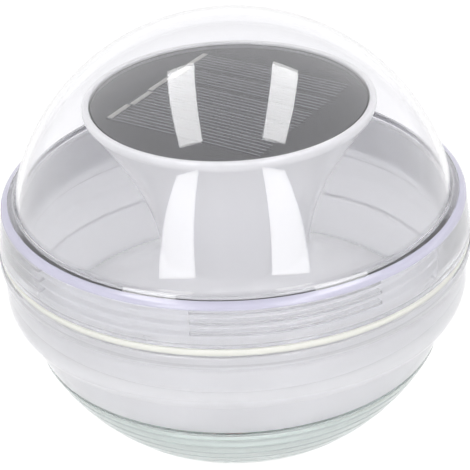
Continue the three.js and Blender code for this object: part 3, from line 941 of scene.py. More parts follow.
RESIN = ClearPlastic("cover_resin", (0.93, 0.935, 0.95), "clear_plastic", 0.01, (0.0, 0.03), 120.0, ior=1.5)
FOAM = Finish("foam_tape", (0.6, 0.6, 0.6), "foam_tape", 0.25, (0.85, 0.95), 1500.0, 0.2)
CELL = SolarCell(
    "solar_cell", (0.02, 0.02, 0.028), "solar_cell", 0.3, (0.18, 0.3), 500.0, 0.01, specular=0.1
)
BACKING = Finish(
    "backing_board", (0.022, 0.022, 0.026), "backing_board", 0.2, (0.4, 0.5), 800.0, 0.02, specular=0.1
)
TIN = Finish("tinned_strip", (0.88, 0.86, 0.78), "tinned_strip", 0.1, (0.4, 0.55), 900.0, 0.03, 0.25)
MASK = SolderMask("circuit_board", (0.06, 0.32, 0.22), "circuit_board", 0.1, (0.3, 0.4), 500.0, 0.03)
LED_BODY = Finish("led", (0.82, 0.82, 0.78), "led", 0.03, (0.3, 0.4), 900.0, 0.01)
PHOSPHOR = Finish("led_phosphor", (0.8, 0.72, 0.25), "led", 0.08, (0.25, 0.35), 1500.0, 0.02)
BLACK = Finish("black_plastic", (0.02, 0.02, 0.022), "black_plastic", 0.2, (0.45, 0.6), 1200.0, 0.03)
NYLON = Finish("socket_plastic", (0.78, 0.77, 0.7), "socket_plastic", 0.05, (0.4, 0.5), 900.0, 0.02)
STEEL = Finish("steel", (0.6, 0.61, 0.62), "steel", 0.12, (0.22, 0.38), 1200.0, 0.02, 1.0)
SLEEVE = Finish("battery_sleeve", (0.08, 0.32, 0.14), "battery_sleeve", 0.1, (0.25, 0.35), 300.0, 0.01)
RED = Finish("red_lead", (0.5, 0.03, 0.025), "red_lead", 0.1, (0.4, 0.5), 900.0, 0.02)
DARK = Finish("black_lead", (0.02, 0.02, 0.02), "black_lead", 0.1, (0.4, 0.5), 900.0, 0.02)


def dress(
    piece: bpy.types.Object,
    finish: Finish,
    body: Body,
    nodes: Sequence[str],
    others: Sequence[Finish] = (),
) -> None:
    """Gives a finished piece its materials, its body and the nodes it stands for.

    Args:
        piece: the mesh object.
        finish: its main finish.
        body: the body that carries it.
        nodes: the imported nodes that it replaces.
        others: finishes of its further material slots.
    """
    for each in (finish, *others):
        piece.data.materials.append(each.material())
    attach(piece, body.value)
    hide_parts(*nodes)
    log.info("%s: %d faces on %s", piece.name, len(piece.data.polygons), body.value)


def paint(piece: bpy.types.Object, index: int, chosen: Callable[[Vector, Vector], bool]) -> None:
    """Gives the chosen faces another of the piece's material slots.

    Args:
        piece: the mesh object.
        index: the slot's number.
        chosen: says yes to a face, from its middle in millimetres and its normal.
    """
    for face in piece.data.polygons:
        if chosen(face.center / MM, face.normal):
            face.material_index = index


# ---------------------------------------------------------------------------------------------
# Shells: dome, seal and bowl
# ---------------------------------------------------------------------------------------------


@dataclass(frozen=True)
class Thread:
    """The right-hand screw between dome and bowl.

    Args:
        pitch: climb of one turn.
        depth: how far it stands out.
        root: height of a thread at its wall.
        tip: height at its tip.
        rows: turns on each side.
        start: middle of the first stretch, in degrees from +X.
        stretch: degrees of each stretch of the dome's interrupted thread.
        sectors: stretches in one turn.
    """

    pitch: float = 4.2
    depth: float = 2.2
    root: float = 1.6
    tip: float = 1.1
    rows: int = 3
    start: float = 12.0
    stretch: float = 47.0
    sectors: int = 4
    sunk: float = 0.8

    def section(self, wall: float, bottom: float, outwards: bool) -> list[Point]:
        """The thread's tapered section, sunk a little into its wall.

        Args:
            wall: the wall's radius.
            bottom: height of the section's lower corner at the wall.
            outwards: whether it stands out from the wall, or in.

        Returns:
            The section's corners.
        """
        way = 1 if outwards else -1
        inset = (self.root - self.tip) / 2
        corners = [
            Corner(wall - way * self.sunk, bottom),
            Corner(wall + way * self.depth, bottom + inset, 0.3),
            Corner(wall + way * self.depth, bottom + self.root - inset, 0.3),
            Corner(wall - way * self.sunk, bottom + self.root),
        ]
        return rounded(corners, closed=True, steps=3)

    def height(self, bottom: float, degrees: float) -> float:
        """Height of a thread at an angle."""
        return bottom + self.pitch * degrees / 360


@dataclass
class Dome:
    """The clear dome: a sphere cap, a sloping flange and a tapered skirt with an inner thread."""

    plan: Plan
    thread: Thread = field(default_factory=Thread)
    skirt_height: float = 16.0
    skirt_taper: float = 2.0
    flange_rise: float = 2.4
    lead_in: float = 0.4
    edge: float = 0.5
    mark_width: float = 3.2
    mark_lift: float = 0.8
    mark_thick: float = 1.0
    mark_sunk: float = 0.75
    mark_angle: float = -111.0

    @property
    def skirt_inner(self) -> float:
        """Radius of the skirt's inside."""
        return self.plan.skirt_outer - self.skirt_taper - self.plan.wall

    def outline(self) -> list[Point]:
        """The dome's section, from the crown's inside to its outside.

        Returns:
            The outline's points.
        """
        plan = self.plan
        inner = plan.dome_radius - plan.wall
        skirt_top = plan.skirt_bottom + self.skirt_height
        under = skirt_top - plan.wall / 2
        flange_top = skirt_top + self.flange_rise
        corners = sphere_arc(inner, plan.dome_centre, plan.dome_centre + inner, under, 44)[:-1]
        flange_end = sphere_radius(plan.dome_radius, plan.dome_centre, flange_top)
        middle = (plan.skirt_outer - self.skirt_taper + flange_end) / 2
        corners += [
            Corner(sphere_radius(inner, plan.dome_centre, under), under, 1.2),
            Corner(self.skirt_inner, under, 1.4),
            Corner(self.skirt_inner, plan.skirt_bottom, self.edge),
            Corner(plan.skirt_outer, plan.skirt_bottom, self.edge),
            Corner(plan.skirt_outer - self.skirt_taper, skirt_top, 1.3),
            Corner(middle, skirt_top + self.flange_rise / 2),
            Corner(flange_end, flange_top, 0.8),
        ]
        corners += sphere_arc(plan.dome_radius, plan.dome_centre, flange_top, plan.top, 44)[1:]
        return rounded(corners)

    def threads(self) -> bpy.types.Object:
        """The stretches of inner thread, one solid each.

        Returns:
            All of them as one object.
        """
        bm = bmesh.new()
        thread = self.thread
        low = self.plan.skirt_bottom + self.lead_in
        for sector in range(thread.sectors):
            start = thread.start - thread.stretch / 2 + sector * 360 / thread.sectors
            for row in range(thread.rows):
                bottom = thread.height(low, start) + row * thread.pitch
                section = thread.section(self.skirt_inner, bottom, False)
                swept_section(bm, section, start, thread.stretch, thread.pitch * thread.stretch / 360, 20)
        settle(bm)
        return piece_from(bm, "dome_threads")

    def mark(self) -> bpy.types.Object:
        """The small raised triangle on the skirt that points to the closed position.

        Returns:
            The triangle's solid.
        """
        bm = bmesh.new()
        lift = self.mark_width * self.mark_lift
        middle = self.plan.skirt_bottom + lift
        taper = self.skirt_taper * lift / self.skirt_height
        bmesh.ops.create_circle(bm, cap_ends=True, segments=3, radius=self.mark_width / 2 * MM)
        face = bm.faces[:][0]
        rise = bmesh.ops.extrude_face_region(bm, geom=[face])["geom"]
        tops = [g for g in rise if isinstance(g, bmesh.types.BMVert)]
        bmesh.ops.translate(bm, verts=tops, vec=(0, 0, self.mark_thick * MM))
        bmesh.ops.rotate(bm, verts=bm.verts[:], cent=(0, 0, 0), matrix=Matrix.Rotation(math.pi, 3, "Z"))
        bmesh.ops.rotate(bm, verts=bm.verts[:], cent=(0, 0, 0), matrix=Matrix.Rotation(math.pi / 2, 3, "X"))
        radius = self.plan.skirt_outer - taper - self.mark_sunk
        out = Matrix.Translation(on_circle(radius, self.mark_angle, middle) * MM)
        facing = Matrix.Rotation(math.radians(self.mark_angle + 90), 4, "Z")
        bmesh.ops.transform(bm, verts=bm.verts[:], matrix=out @ facing)
        settle(bm)
        return piece_from(bm, "closing_mark")

    def build(self) -> None:
        """Builds and dresses the dome."""
        dome = turned("dome", self.outline())
        combined(dome, self.threads(), Cut.JOIN)
        combined(dome, self.mark(), Cut.JOIN)
        skirt_top = self.plan.skirt_bottom + self.skirt_height

        def flange(middle: Vector, normal: Vector) -> bool:
            """Whether a face lies on the lower half of the flange's outside, where the dark violet painted
            shade goes.
            """
            outside = normal.x * middle.x + normal.y * middle.y > 0
            return outside and -2 * self.edge < middle.z - skirt_top < self.flange_rise / 2

        def skirt(middle: Vector, _normal: Vector) -> bool:
            """Whether a face belongs to the skirt or its thread."""
            return middle.z < skirt_top - self.edge

        paint(dome, 2, skirt)
        # The flange's lower outside gets the dark violet colour, painted shade for the band that refraction
        # darkens in the clear rim.
        paint(dome, 1, flange)
        dress(dome, CLEAR, Body.DOME, ["clear_dome"], [FLANGE_PAINTED_SHADE, SKIRT])


@dataclass
class Seal:
    """The silicone ring squeezed between the dome's skirt and the bowl's rim."""

    plan: Plan
    width: float = 4.0
    bulge: float = 0.35

    def build(self) -> None:
        """Builds and dresses the seal."""
        low, high, outer = self.plan.seal
        middle = (low + high) / 2
        corners = [
            Corner(outer - self.width, low, 0.5),
            Corner(outer - self.bulge, low, 0.6),
            Corner(outer, middle, 0.8),
            Corner(outer - self.bulge, high, 0.6),
            Corner(outer - self.width, high, 0.5),
        ]
        seal = turned("seal", rounded(corners, closed=True), closed=True)
        dress(seal, SILICONE, Body.SEAL, ["seal_ring"])


@dataclass
class Bowl:
    """The bowl: clear ribbed bottom, frosted wall with a proud shoulder, and a threaded neck."""

    plan: Plan
    thread: Thread = field(default_factory=Thread)
    foot_radius: float = 40.0
    floor: float = 3.6
    bead_rows: int = 6
    bead_pitch: float = 4.95
    bead_rise: float = 0.8
    bead_top_offset: float = 0.4
    rim_depth: float = 5.0
    shoulder_inset: float = 1.5
    shoulder_height: float = 15.4
    shoulder_round: float = 10.4
    ledge_width: float = 4.0
    ledge_thickness: float = 2.0
    running_gap: float = 0.6

    def __post_init__(self) -> None:
        """Works out the sizes that follow from the plan."""
        plan = self.plan
        self.shoulder = plan.seam - self.shoulder_inset
        self.shoulder_bottom = plan.rim - self.shoulder_height
        self.shoulder_end = self.shoulder_bottom - self.shoulder_round
        self.neck_outer = plan.skirt_outer - 2.0 - plan.wall - self.thread.depth - self.running_gap
        self.inner = plan.bowl_radius - plan.wall

    def outer_corners(self) -> list[Corner]:
        """The outside, from the foot's middle to the rim."""
        plan = self.plan
        radius, centre = plan.bowl_radius, plan.bowl_centre
        bead_top = plan.ledge + self.bead_top_offset
        beads_bottom = bead_top - self.bead_rows * self.bead_pitch
        corners = [Corner(0, 0)]
        corners += [Corner(self.foot_radius, 0, 0.8)]
        corners += sphere_arc(radius, centre, 0, beads_bottom, 8)[1:-1]
        for row in range(self.bead_rows, 0, -1):
            groove = bead_top - row * self.bead_pitch
            low, high = groove + 0.22 * self.bead_pitch, groove + 0.82 * self.bead_pitch
            corners.append(Corner(sphere_radius(radius, centre, groove), groove, 0.35))
            corners.append(Corner(sphere_radius(radius, centre, low) + self.bead_rise, low, 1.2))
            corners.append(Corner(sphere_radius(radius, centre, high) + 0.75 * self.bead_rise, high, 1.4))
        corners += sphere_arc(radius, centre, bead_top, self.shoulder_end, 12)[:-1]
        end = sphere_radius(radius, centre, self.shoulder_end)
        steps = 10
        for i in range(steps):
            turn = math.pi / 2 * (steps - i) / steps
            r = end + (self.shoulder - end) * math.cos(turn)
            corners.append(Corner(r, self.shoulder_bottom - self.shoulder_round * math.sin(turn)))
        corners += [
            Corner(self.shoulder, self.shoulder_bottom),
            Corner(self.shoulder, plan.rim - self.rim_depth, 1.5),
            Corner(plan.seam, plan.rim - self.rim_depth / 2, 1.2),
            Corner(plan.seam, plan.rim, 0.5),
        ]
        return corners

    def inner_corners(self) -> list[Corner]:
        """The neck and the inside, from the rim to the floor's middle."""
        plan = self.plan
        inner, centre = self.inner, plan.bowl_centre
        neck_inner = self.neck_outer - plan.wall
        ledge_r = sphere_radius(inner, centre, plan.ledge) - self.ledge_width
        shelf = plan.ledge - self.ledge_thickness
        corners = [
            Corner(self.neck_outer, plan.rim, 0.5),
            Corner(self.neck_outer, plan.neck_top, 0.6),
            Corner(neck_inner, plan.neck_top, 0.6),
            Corner(neck_inner, plan.rim - plan.wall, 1.5),
            Corner(self.shoulder - plan.wall, plan.rim - 3 * plan.wall, 2.0),
            Corner(self.shoulder - plan.wall, self.shoulder_bottom, 3.0),
        ]
        corners += sphere_arc(inner, centre, self.shoulder_end, plan.ledge, 10)
        corners += [Corner(ledge_r, plan.ledge, 0.4), Corner(ledge_r, shelf, 0.4)]
        corners += sphere_arc(inner, centre, shelf, self.floor, 24)[:-1]
        corners += [Corner(sphere_radius(inner, centre, self.floor), self.floor, 3.0), Corner(0, self.floor)]
        return corners

    def neck_thread(self) -> bpy.types.Object:
        """The neck's thread, one helix of several turns.

        Returns:
            Its solid.
        """
        bm = bmesh.new()
        thread = self.thread
        low = self.plan.skirt_bottom + 0.4 - thread.pitch / 2
        start = thread.start - 180 / thread.sectors
        degrees = 360 * thread.rows
        section = thread.section(self.neck_outer, thread.height(low, start), True)
        swept_section(bm, section, start, degrees, thread.pitch * degrees / 360, 72 * thread.rows)
        settle(bm)
        return piece_from(bm, "neck_thread")

    def build(self) -> None:
        """Builds and dresses the bowl."""
        outline = rounded(self.outer_corners() + self.inner_corners())
        bowl = turned("bowl", outline)
        combined(bowl, self.neck_thread(), Cut.JOIN)
        fixings = Fixings(self.plan)
        combined(bowl, fixings.bosses(self.inner), Cut.JOIN)
        combined(bowl, fixings.bores(), Cut.REMOVE)
        ledge = self.plan.ledge - 0.1

        rim = self.plan.rim + 0.1

        def frosted(middle: Vector, normal: Vector) -> bool:
            """Whether a face lies on the frosted neck or the frosted inside of the wall."""
            return middle.z > rim or (middle.z > ledge and normal.x * middle.x + normal.y * middle.y < 0)

        def base(middle: Vector, _normal: Vector) -> bool:
            """Whether a face belongs to the clear, ribbed base."""
            return middle.z < ledge

        def band(middle: Vector, normal: Vector) -> bool:
            """Whether a face lies on the outside of the band under the rim."""
            outside = normal.x * middle.x + normal.y * middle.y > 0
            return outside and -self.rim_depth - 1 < middle.z - rim < 0

        paint(bowl, 3, band)
        paint(bowl, 1, frosted)
        paint(bowl, 2, base)
        dress(bowl, CLEAR_BOWL, Body.HOUSING, ["lower_bowl"], [FROSTED, CLEAR_BASE, BAND])


@dataclass
class Fixings:
    """Where the screws go, and the bosses, posts and bores for them."""

    plan: Plan
    column_inset: float = 7.5
    board_inset: float = 4.0
    count: int = 3
    first: float = 90.0
    boss: float = 4.0
    post: float = 3.0
    bore: float = 1.5
    boss_head: float = 7.0
    column_length: float = 13.0
    board_length: float = 7.0

    def places(self, radius: float) -> list[Vector]:
        """The screws' places on a circle.

        Args:
            radius: the circle's radius.

        Returns:
            One place for each screw.
        """
        return [on_circle(radius, self.first + i * 360 / self.count) for i in range(self.count)]

    def column_places(self) -> list[Vector]:
        """Places of the column's screws."""
        return self.places(self.plan.column[2] - self.column_inset)

    def board_places(self) -> list[Vector]:
        """Places of the board's screws."""
        return self.places(self.plan.board[2] - self.board_inset)

    def bosses(self, inner: float) -> bpy.types.Object:
        """Bosses under the ledge and posts under the board, ending inside the bowl's wall.

        Args:
            inner: radius of the bowl's inside.

        Returns:
            All of them as one object.
        """
        bm = bmesh.new()
        centre = self.plan.bowl_centre
        for spot in self.column_places():
            foot = centre - math.sqrt(inner**2 - (spot.length + 0.4 * self.boss) ** 2) - 0.4
            rod(bm, self.boss, foot, self.plan.ledge, spot)
        for spot in self.board_places():
            rod(bm, self.post, 2.6, self.plan.board[0] - self.plan.gap, spot)
        settle(bm)
        return piece_from(bm, "bosses")

    def bores(self) -> bpy.types.Object:
        """The bores for the screws.

        Returns:
            All of them as one object.
        """
        bm = bmesh.new()
        low = self.plan.ledge + self.boss_head - self.column_length - self.plan.gap
        for spot in self.column_places():
            rod(bm, self.bore, low, self.plan.ledge + 1, spot, sides=20)
        for spot in self.board_places():
            low = self.plan.board[1] - self.board_length - self.plan.gap
            rod(bm, self.bore, low, self.plan.board[1], spot, sides=20)
        settle(bm)
        return piece_from(bm, "bores")


# ---------------------------------------------------------------------------------------------
# Column and switch
# ---------------------------------------------------------------------------------------------


@dataclass
class Column:
    """The white trumpet: flared foot, slim waist, and a rounded lip round the panel's recess."""

    plan: Plan
    wall: float = 2.2
    rim_thickness: float = 1.2
    lip_radius: float = 55.6
    lip_height: float = 5.0
    lip_width: float = 2.8
    overhang: float = 1.6
    waist_radius: float = 29.3
    waist_above_ledge: float = 36.5
    foot_flare: float = 0.8
    top_flare: float = 1.75
    wire_hole: float = 6.0
    switch_angle: float = -93.0
    seat: tuple[float, float, float] = (18.0, 10.0, 2.0)
    seat_inset: float = 7.5
    slot: tuple[float, float] = (6.8, 3.4)

    def __post_init__(self) -> None:
        """Works out the heights that follow from the plan."""
        self.lip_top = self.plan.column[1]
        self.recess_floor = span("panel_tape")[0].z - self.plan.gap
        self.foot_top = self.plan.column[0] + self.rim_thickness
        self.waist = self.plan.ledge + self.waist_above_ledge
        self.neck = self.lip_top - self.lip_height

    def foot_radius_at(self, rise: float) -> float:
        """Radius of the foot's flare, from 0 at its rim to 1 at the waist."""
        spread = (1 - math.sin(rise * math.pi / 2)) ** self.foot_flare
        return self.waist_radius + (self.plan.column[2] - self.waist_radius) * spread

    def trumpet(self, offset: float = 0.0, steps: int = 36) -> list[Corner]:
        """The trumpet's outside from the foot's rim up to the lip, drawn in by an offset.

        Args:
            offset: how far it is drawn in.
            steps: segments of each flare.

        Returns:
            The corners.
        """
        corners = []
        for i in range(steps):
            rise = (i / steps) ** 1.5
            height = self.foot_top + (self.waist - self.foot_top) * rise
            corners.append(Corner(self.foot_radius_at(rise) - offset, height))
        reach = self.lip_radius - self.overhang - self.waist_radius
        for i in range(steps + 1):
            rise = i / steps
            r = self.waist_radius + reach * rise**self.top_flare
            corners.append(Corner(r - offset, self.waist + (self.neck - self.waist) * rise))
        return corners

    def outline(self) -> list[Point]:
        """The column's closed section.

        Returns:
            The outline's points.
        """
        low, high = self.plan.column[:2]
        rim = self.plan.column[2]
        under = self.recess_floor - self.wall
        recess = self.lip_radius - self.lip_width
        inside = [c for c in self.trumpet(self.wall, 18) if c.z < under]
        corners = [Corner(rim - self.wall, low, 0.3), Corner(rim, low, 0.3)]
        corners += self.trumpet()[:-1]
        corners += [
            Corner(self.lip_radius - self.overhang, self.neck, 2.5),
            Corner(self.lip_radius, self.neck + 2.2, 2.4),
            Corner(self.lip_radius, high, 2.6),
            Corner(recess, high, 0.9),
            Corner(recess, self.recess_floor, 0.3),
            Corner(self.wire_hole, self.recess_floor, 0.3),
            Corner(self.wire_hole, under, 0.3),
            Corner(inside[-1].r, under, 0.8),
        ]
        return rounded(corners + inside[::-1][:-1], closed=True)

    def switch_place(self) -> tuple[Vector, float]:
        """The middle of the switch's seat on its upper face, and its turn about Z in degrees."""
        radius = self.plan.column[2] - self.seat_inset
        top = span("switch_body")[1].z + self.plan.gap + self.seat[2]
        return on_circle(radius, self.switch_angle, top), self.switch_angle + 90

    def screw_wells(self) -> tuple[bpy.types.Object, bpy.types.Object]:
        """Sleeves for the screws, and the room and bores cut from them.

        Returns:
            The solid to join and the solid to cut.
        """
        fixings = Fixings(self.plan)
        top = self.plan.ledge + fixings.boss_head
        solid, hollow = bmesh.new(), bmesh.new()
        for spot in fixings.column_places():
            rod(solid, fixings.boss, self.plan.column[0], top, spot)
            rod(hollow, fixings.boss - 0.05, top, top + 8, spot)
            rod(hollow, fixings.bore, self.plan.ledge - 1, top + 1, spot, sides=20)
        settle(solid)
        settle(hollow)
        return piece_from(solid, "sleeves"), piece_from(hollow, "wells")

    def switch_seat(self) -> tuple[bpy.types.Object, bpy.types.Object, bpy.types.Object]:
        """The switch's seat.

        Returns:
            The room cut first, the plate joined to it, and the slot cut through the plate.
        """
        place, turn = self.switch_place()
        long, wide, thick = self.seat
        room, plate, slot = bmesh.new(), bmesh.new(), bmesh.new()
        block(room, (long, wide, 6), (place.x, place.y, place.z + 3), 1.0, turn)
        block(room, (long - 4.4, wide - 2.2, 5), (place.x, place.y, place.z - thick - 2.5), 0, turn)
        block(plate, (long + 0.6, wide + 0.6, thick), (place.x, place.y, place.z - thick / 2), 0, turn)
        block(slot, (*self.slot, thick * 3), (place.x, place.y, place.z - thick / 2), 0.4, turn)
        settle(room)
        return piece_from(room, "seat_room"), piece_from(plate, "seat_plate"), piece_from(slot, "seat_slot")

    def build(self) -> None:
        """Builds and dresses the column."""
        column = turned("column", self.outline(), closed=True)
        sleeves, wells = self.screw_wells()
        combined(column, sleeves, Cut.JOIN)
        combined(column, wells, Cut.REMOVE)
        room, plate, slot = self.switch_seat()
        combined(column, room, Cut.REMOVE)
        combined(column, plate, Cut.JOIN)
        combined(column, slot, Cut.REMOVE)
        dress(column, WHITE, Body.HOUSING, ["solar_column"])


@dataclass
class Switch:
    """The slide switch under the column's foot: a closed body and a ribbed knob."""

    column: Column
    case: tuple[float, float] = (12.0, 6.0)
    knob: tuple[float, float] = (3.0, 2.6)
    knob_back: float = 1.5
    ridges: int = 3
    ridge: tuple[float, float, float] = (0.4, 2.2, 0.6)
    ridge_pitch: float = 0.9
    ridge_rise: float = 0.4

    def build(self) -> None:
        """Builds and dresses the body and the knob."""
        place, turn = self.column.switch_place()
        low, high = span("switch_body")[0].z, span("switch_body")[1].z
        centre = (place.x, place.y, (low + high) / 2)
        body = boxed("switch_case", (*self.case, high - low), centre, 0.35, turn)
        dress(body, BLACK, Body.HOUSING, ["switch_body"])
        low, high = span("switch_knob")[0].z, span("switch_knob")[1].z
        along = Matrix.Rotation(math.radians(turn), 3, "Z") @ Vector((1, 0, 0))
        spot = Vector((place.x, place.y, 0)) - along * self.knob_back
        height = high - low - self.ridge_rise
        middle = (low + high) / 2 - self.ridge_rise / 2
        bm = bmesh.new()
        block(bm, (*self.knob, height), (spot.x, spot.y, middle), 0.25, turn)
        for i in range(self.ridges):
            ridge = spot + along * (i - (self.ridges - 1) / 2) * self.ridge_pitch
            block(bm, self.ridge, (ridge.x, ridge.y, high - self.ridge[2] / 2), 0.12, turn)
        dress(piece_from(bm, "switch_thumb_piece"), BLACK, Body.KNOB, ["switch_knob"])


# ---------------------------------------------------------------------------------------------
# Solar panel
# ---------------------------------------------------------------------------------------------


@dataclass
class Panel:
    """The round solar panel: backing, five cell strips with tinned bars, and a crowned resin cover."""

    strips: int = 5
    turn: float = -33.0
    share: float = 0.9
    split: float = 0.7
    crown: float = 0.8
    bar_width: float = 2.2
    bar_stagger: float = 0.45
    bar_inset: float = 1.0
    tape_width: float = 4.0

    def disc(self, name: str, node: str, edge: float) -> bpy.types.Object:
        """A round disc in the place of a packed one, with rounded rims.

        Args:
            name: the piece's name.
            node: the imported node.
            edge: rounding of its rims.

        Returns:
            The new object.
        """
        low, high = span(node)
        return turned(name, rounded(disc_corners(high.x, low.z, high.z, edge)))

    def cover(self) -> None:
        """The crowned clear cover."""
        low, high = span("panel_cover")
        edge_top = high.z - self.crown
        steps = 16
        corners = [Corner(0, low.z), Corner(high.x, low.z, 0.3), Corner(high.x, edge_top, 0.7)]
        for i in range(1, steps + 1):
            part = 1 - i / steps
            corners.append(Corner(high.x * part, edge_top + self.crown * (1 - part**2)))
        dress(turned("panel_cover_resin", rounded(corners)), RESIN, Body.HOUSING, ["panel_cover"])

    def tape(self) -> None:
        """The foam ring under the backing."""
        low, high = span("panel_tape")
        inner = high.x - self.tape_width
        places = ((inner, low.z), (high.x, low.z), (high.x, high.z), (inner, high.z))
        corners = [Corner(r, z, 0.15) for r, z in places]
        ring = turned("foam_ring", rounded(corners, closed=True), closed=True)
        dress(ring, FOAM, Body.HOUSING, ["panel_tape"])

    def cells(self) -> None:
        """The cell strips and the bars soldered to them."""
        backing = span("panel_backing")
        side = backing[1].x * self.share * math.sqrt(2)
        pitch = (side + self.split) / self.strips
        width = pitch - self.split
        low, high = span("solar_cell_1")[0].z, span("solar_cell_1")[1].z
        bar_low, bar_high = span("bus_bar_1")[0].z, span("bus_bar_1")[1].z
        turn = Matrix.Rotation(math.radians(self.turn), 3, "Z")
        for i in range(self.strips):
            y = (i - (self.strips - 1) / 2) * pitch
            middle = turn @ Vector((0, y, 0))
            centre = (middle.x, middle.y, (low + high) / 2)
            strip = boxed(f"cell_strip_{i + 1}", (side, width, high - low), centre, 0.06, self.turn)
            dress(strip, CELL, Body.HOUSING, [f"solar_cell_{i + 1}"])
            stagger = self.bar_stagger if i % 2 else -self.bar_stagger
            spot = turn @ Vector((-(side - self.bar_width) / 2 + self.bar_inset + stagger, y, 0))
            centre = (spot.x, spot.y, (bar_low + bar_high) / 2)
            size = (self.bar_width, width - 0.3, bar_high - bar_low)
            bar = boxed(f"solder_bar_{i + 1}", size, centre, 0.08, self.turn)
            dress(bar, TIN, Body.HOUSING, [f"bus_bar_{i + 1}"])

    def build(self) -> None:
        """Builds and dresses the panel."""
        self.tape()
        dress(self.disc("backing_disc", "panel_backing", 0.2), BACKING, Body.HOUSING, ["panel_backing"])
        self.cells()
        self.cover()


# ---------------------------------------------------------------------------------------------
# Board, cells and wires
# ---------------------------------------------------------------------------------------------


@dataclass
class Screws:
    """Pan-head cross-recess screws."""

    plan: Plan
    shank: float = 1.2
    head: float = 2.8
    head_height: float = 2.0
    pitch: float = 0.9
    point: float = 1.6
    slot: tuple[float, float, float] = (3.0, 0.7, 1.6)

    def screw(self, name: str, spot: Vector, seat: float, length: float) -> bpy.types.Object:
        """One screw.

        Args:
            name: the piece's name.
            spot: its axis.
            seat: height of the head's underside.
            length: length under the head.

        Returns:
            The new object.
        """
        tip = seat - length
        corners = [
            Corner(0, tip),
            Corner(self.shank * 0.35, tip + 0.2),
            Corner(self.shank * 0.8, tip + self.point, 0.3),
            Corner(self.shank * 0.8, seat, 0.1),
            Corner(self.head, seat, 0.2),
            Corner(self.head, seat + 0.5 * self.head_height, 1.2),
            Corner(self.head * 0.45, seat + self.head_height, 1.0),
            Corner(0, seat + self.head_height),
        ]
        made = turned(name, rounded(corners, steps=4), steps=40)
        helix = bmesh.new()
        turns = (length - self.point) / self.pitch
        section = [(self.shank * 0.7, tip + 1.2), (self.shank, tip + 1.45), (self.shank * 0.7, tip + 1.7)]
        swept_section(helix, section, 0, 360 * (turns - 1), self.pitch * (turns - 1), int(20 * turns))
        settle(helix)
        combined(made, piece_from(helix, "screw_thread"), Cut.JOIN)
        long, wide, deep = self.slot
        for x, y in ((long, wide), (wide, long)):
            slot = boxed("cross_slot", (x, y, deep), (0, 0, seat + self.head_height), 0.1)
            combined(made, slot, Cut.REMOVE)
        made.data.transform(Matrix.Translation(Vector((spot.x, spot.y, 0)) * MM))
        return made

    def build(self) -> None:
        """Builds and dresses the screws of the column and the board."""
        fixings = Fixings(self.plan)
        groups = (
            ("column_screw", fixings.column_places(), fixings.column_length),
            ("board_screw", fixings.board_places(), fixings.board_length),
        )
        for kind, places, length in groups:
            seat = span(f"{kind}_1")[1].z - self.head_height
            for i, spot in enumerate(places, 1):
                made = self.screw(f"{kind}_steel_{i}", spot, seat, length)
                dress(made, STEEL, Body.HOUSING, [f"{kind}_{i}"])


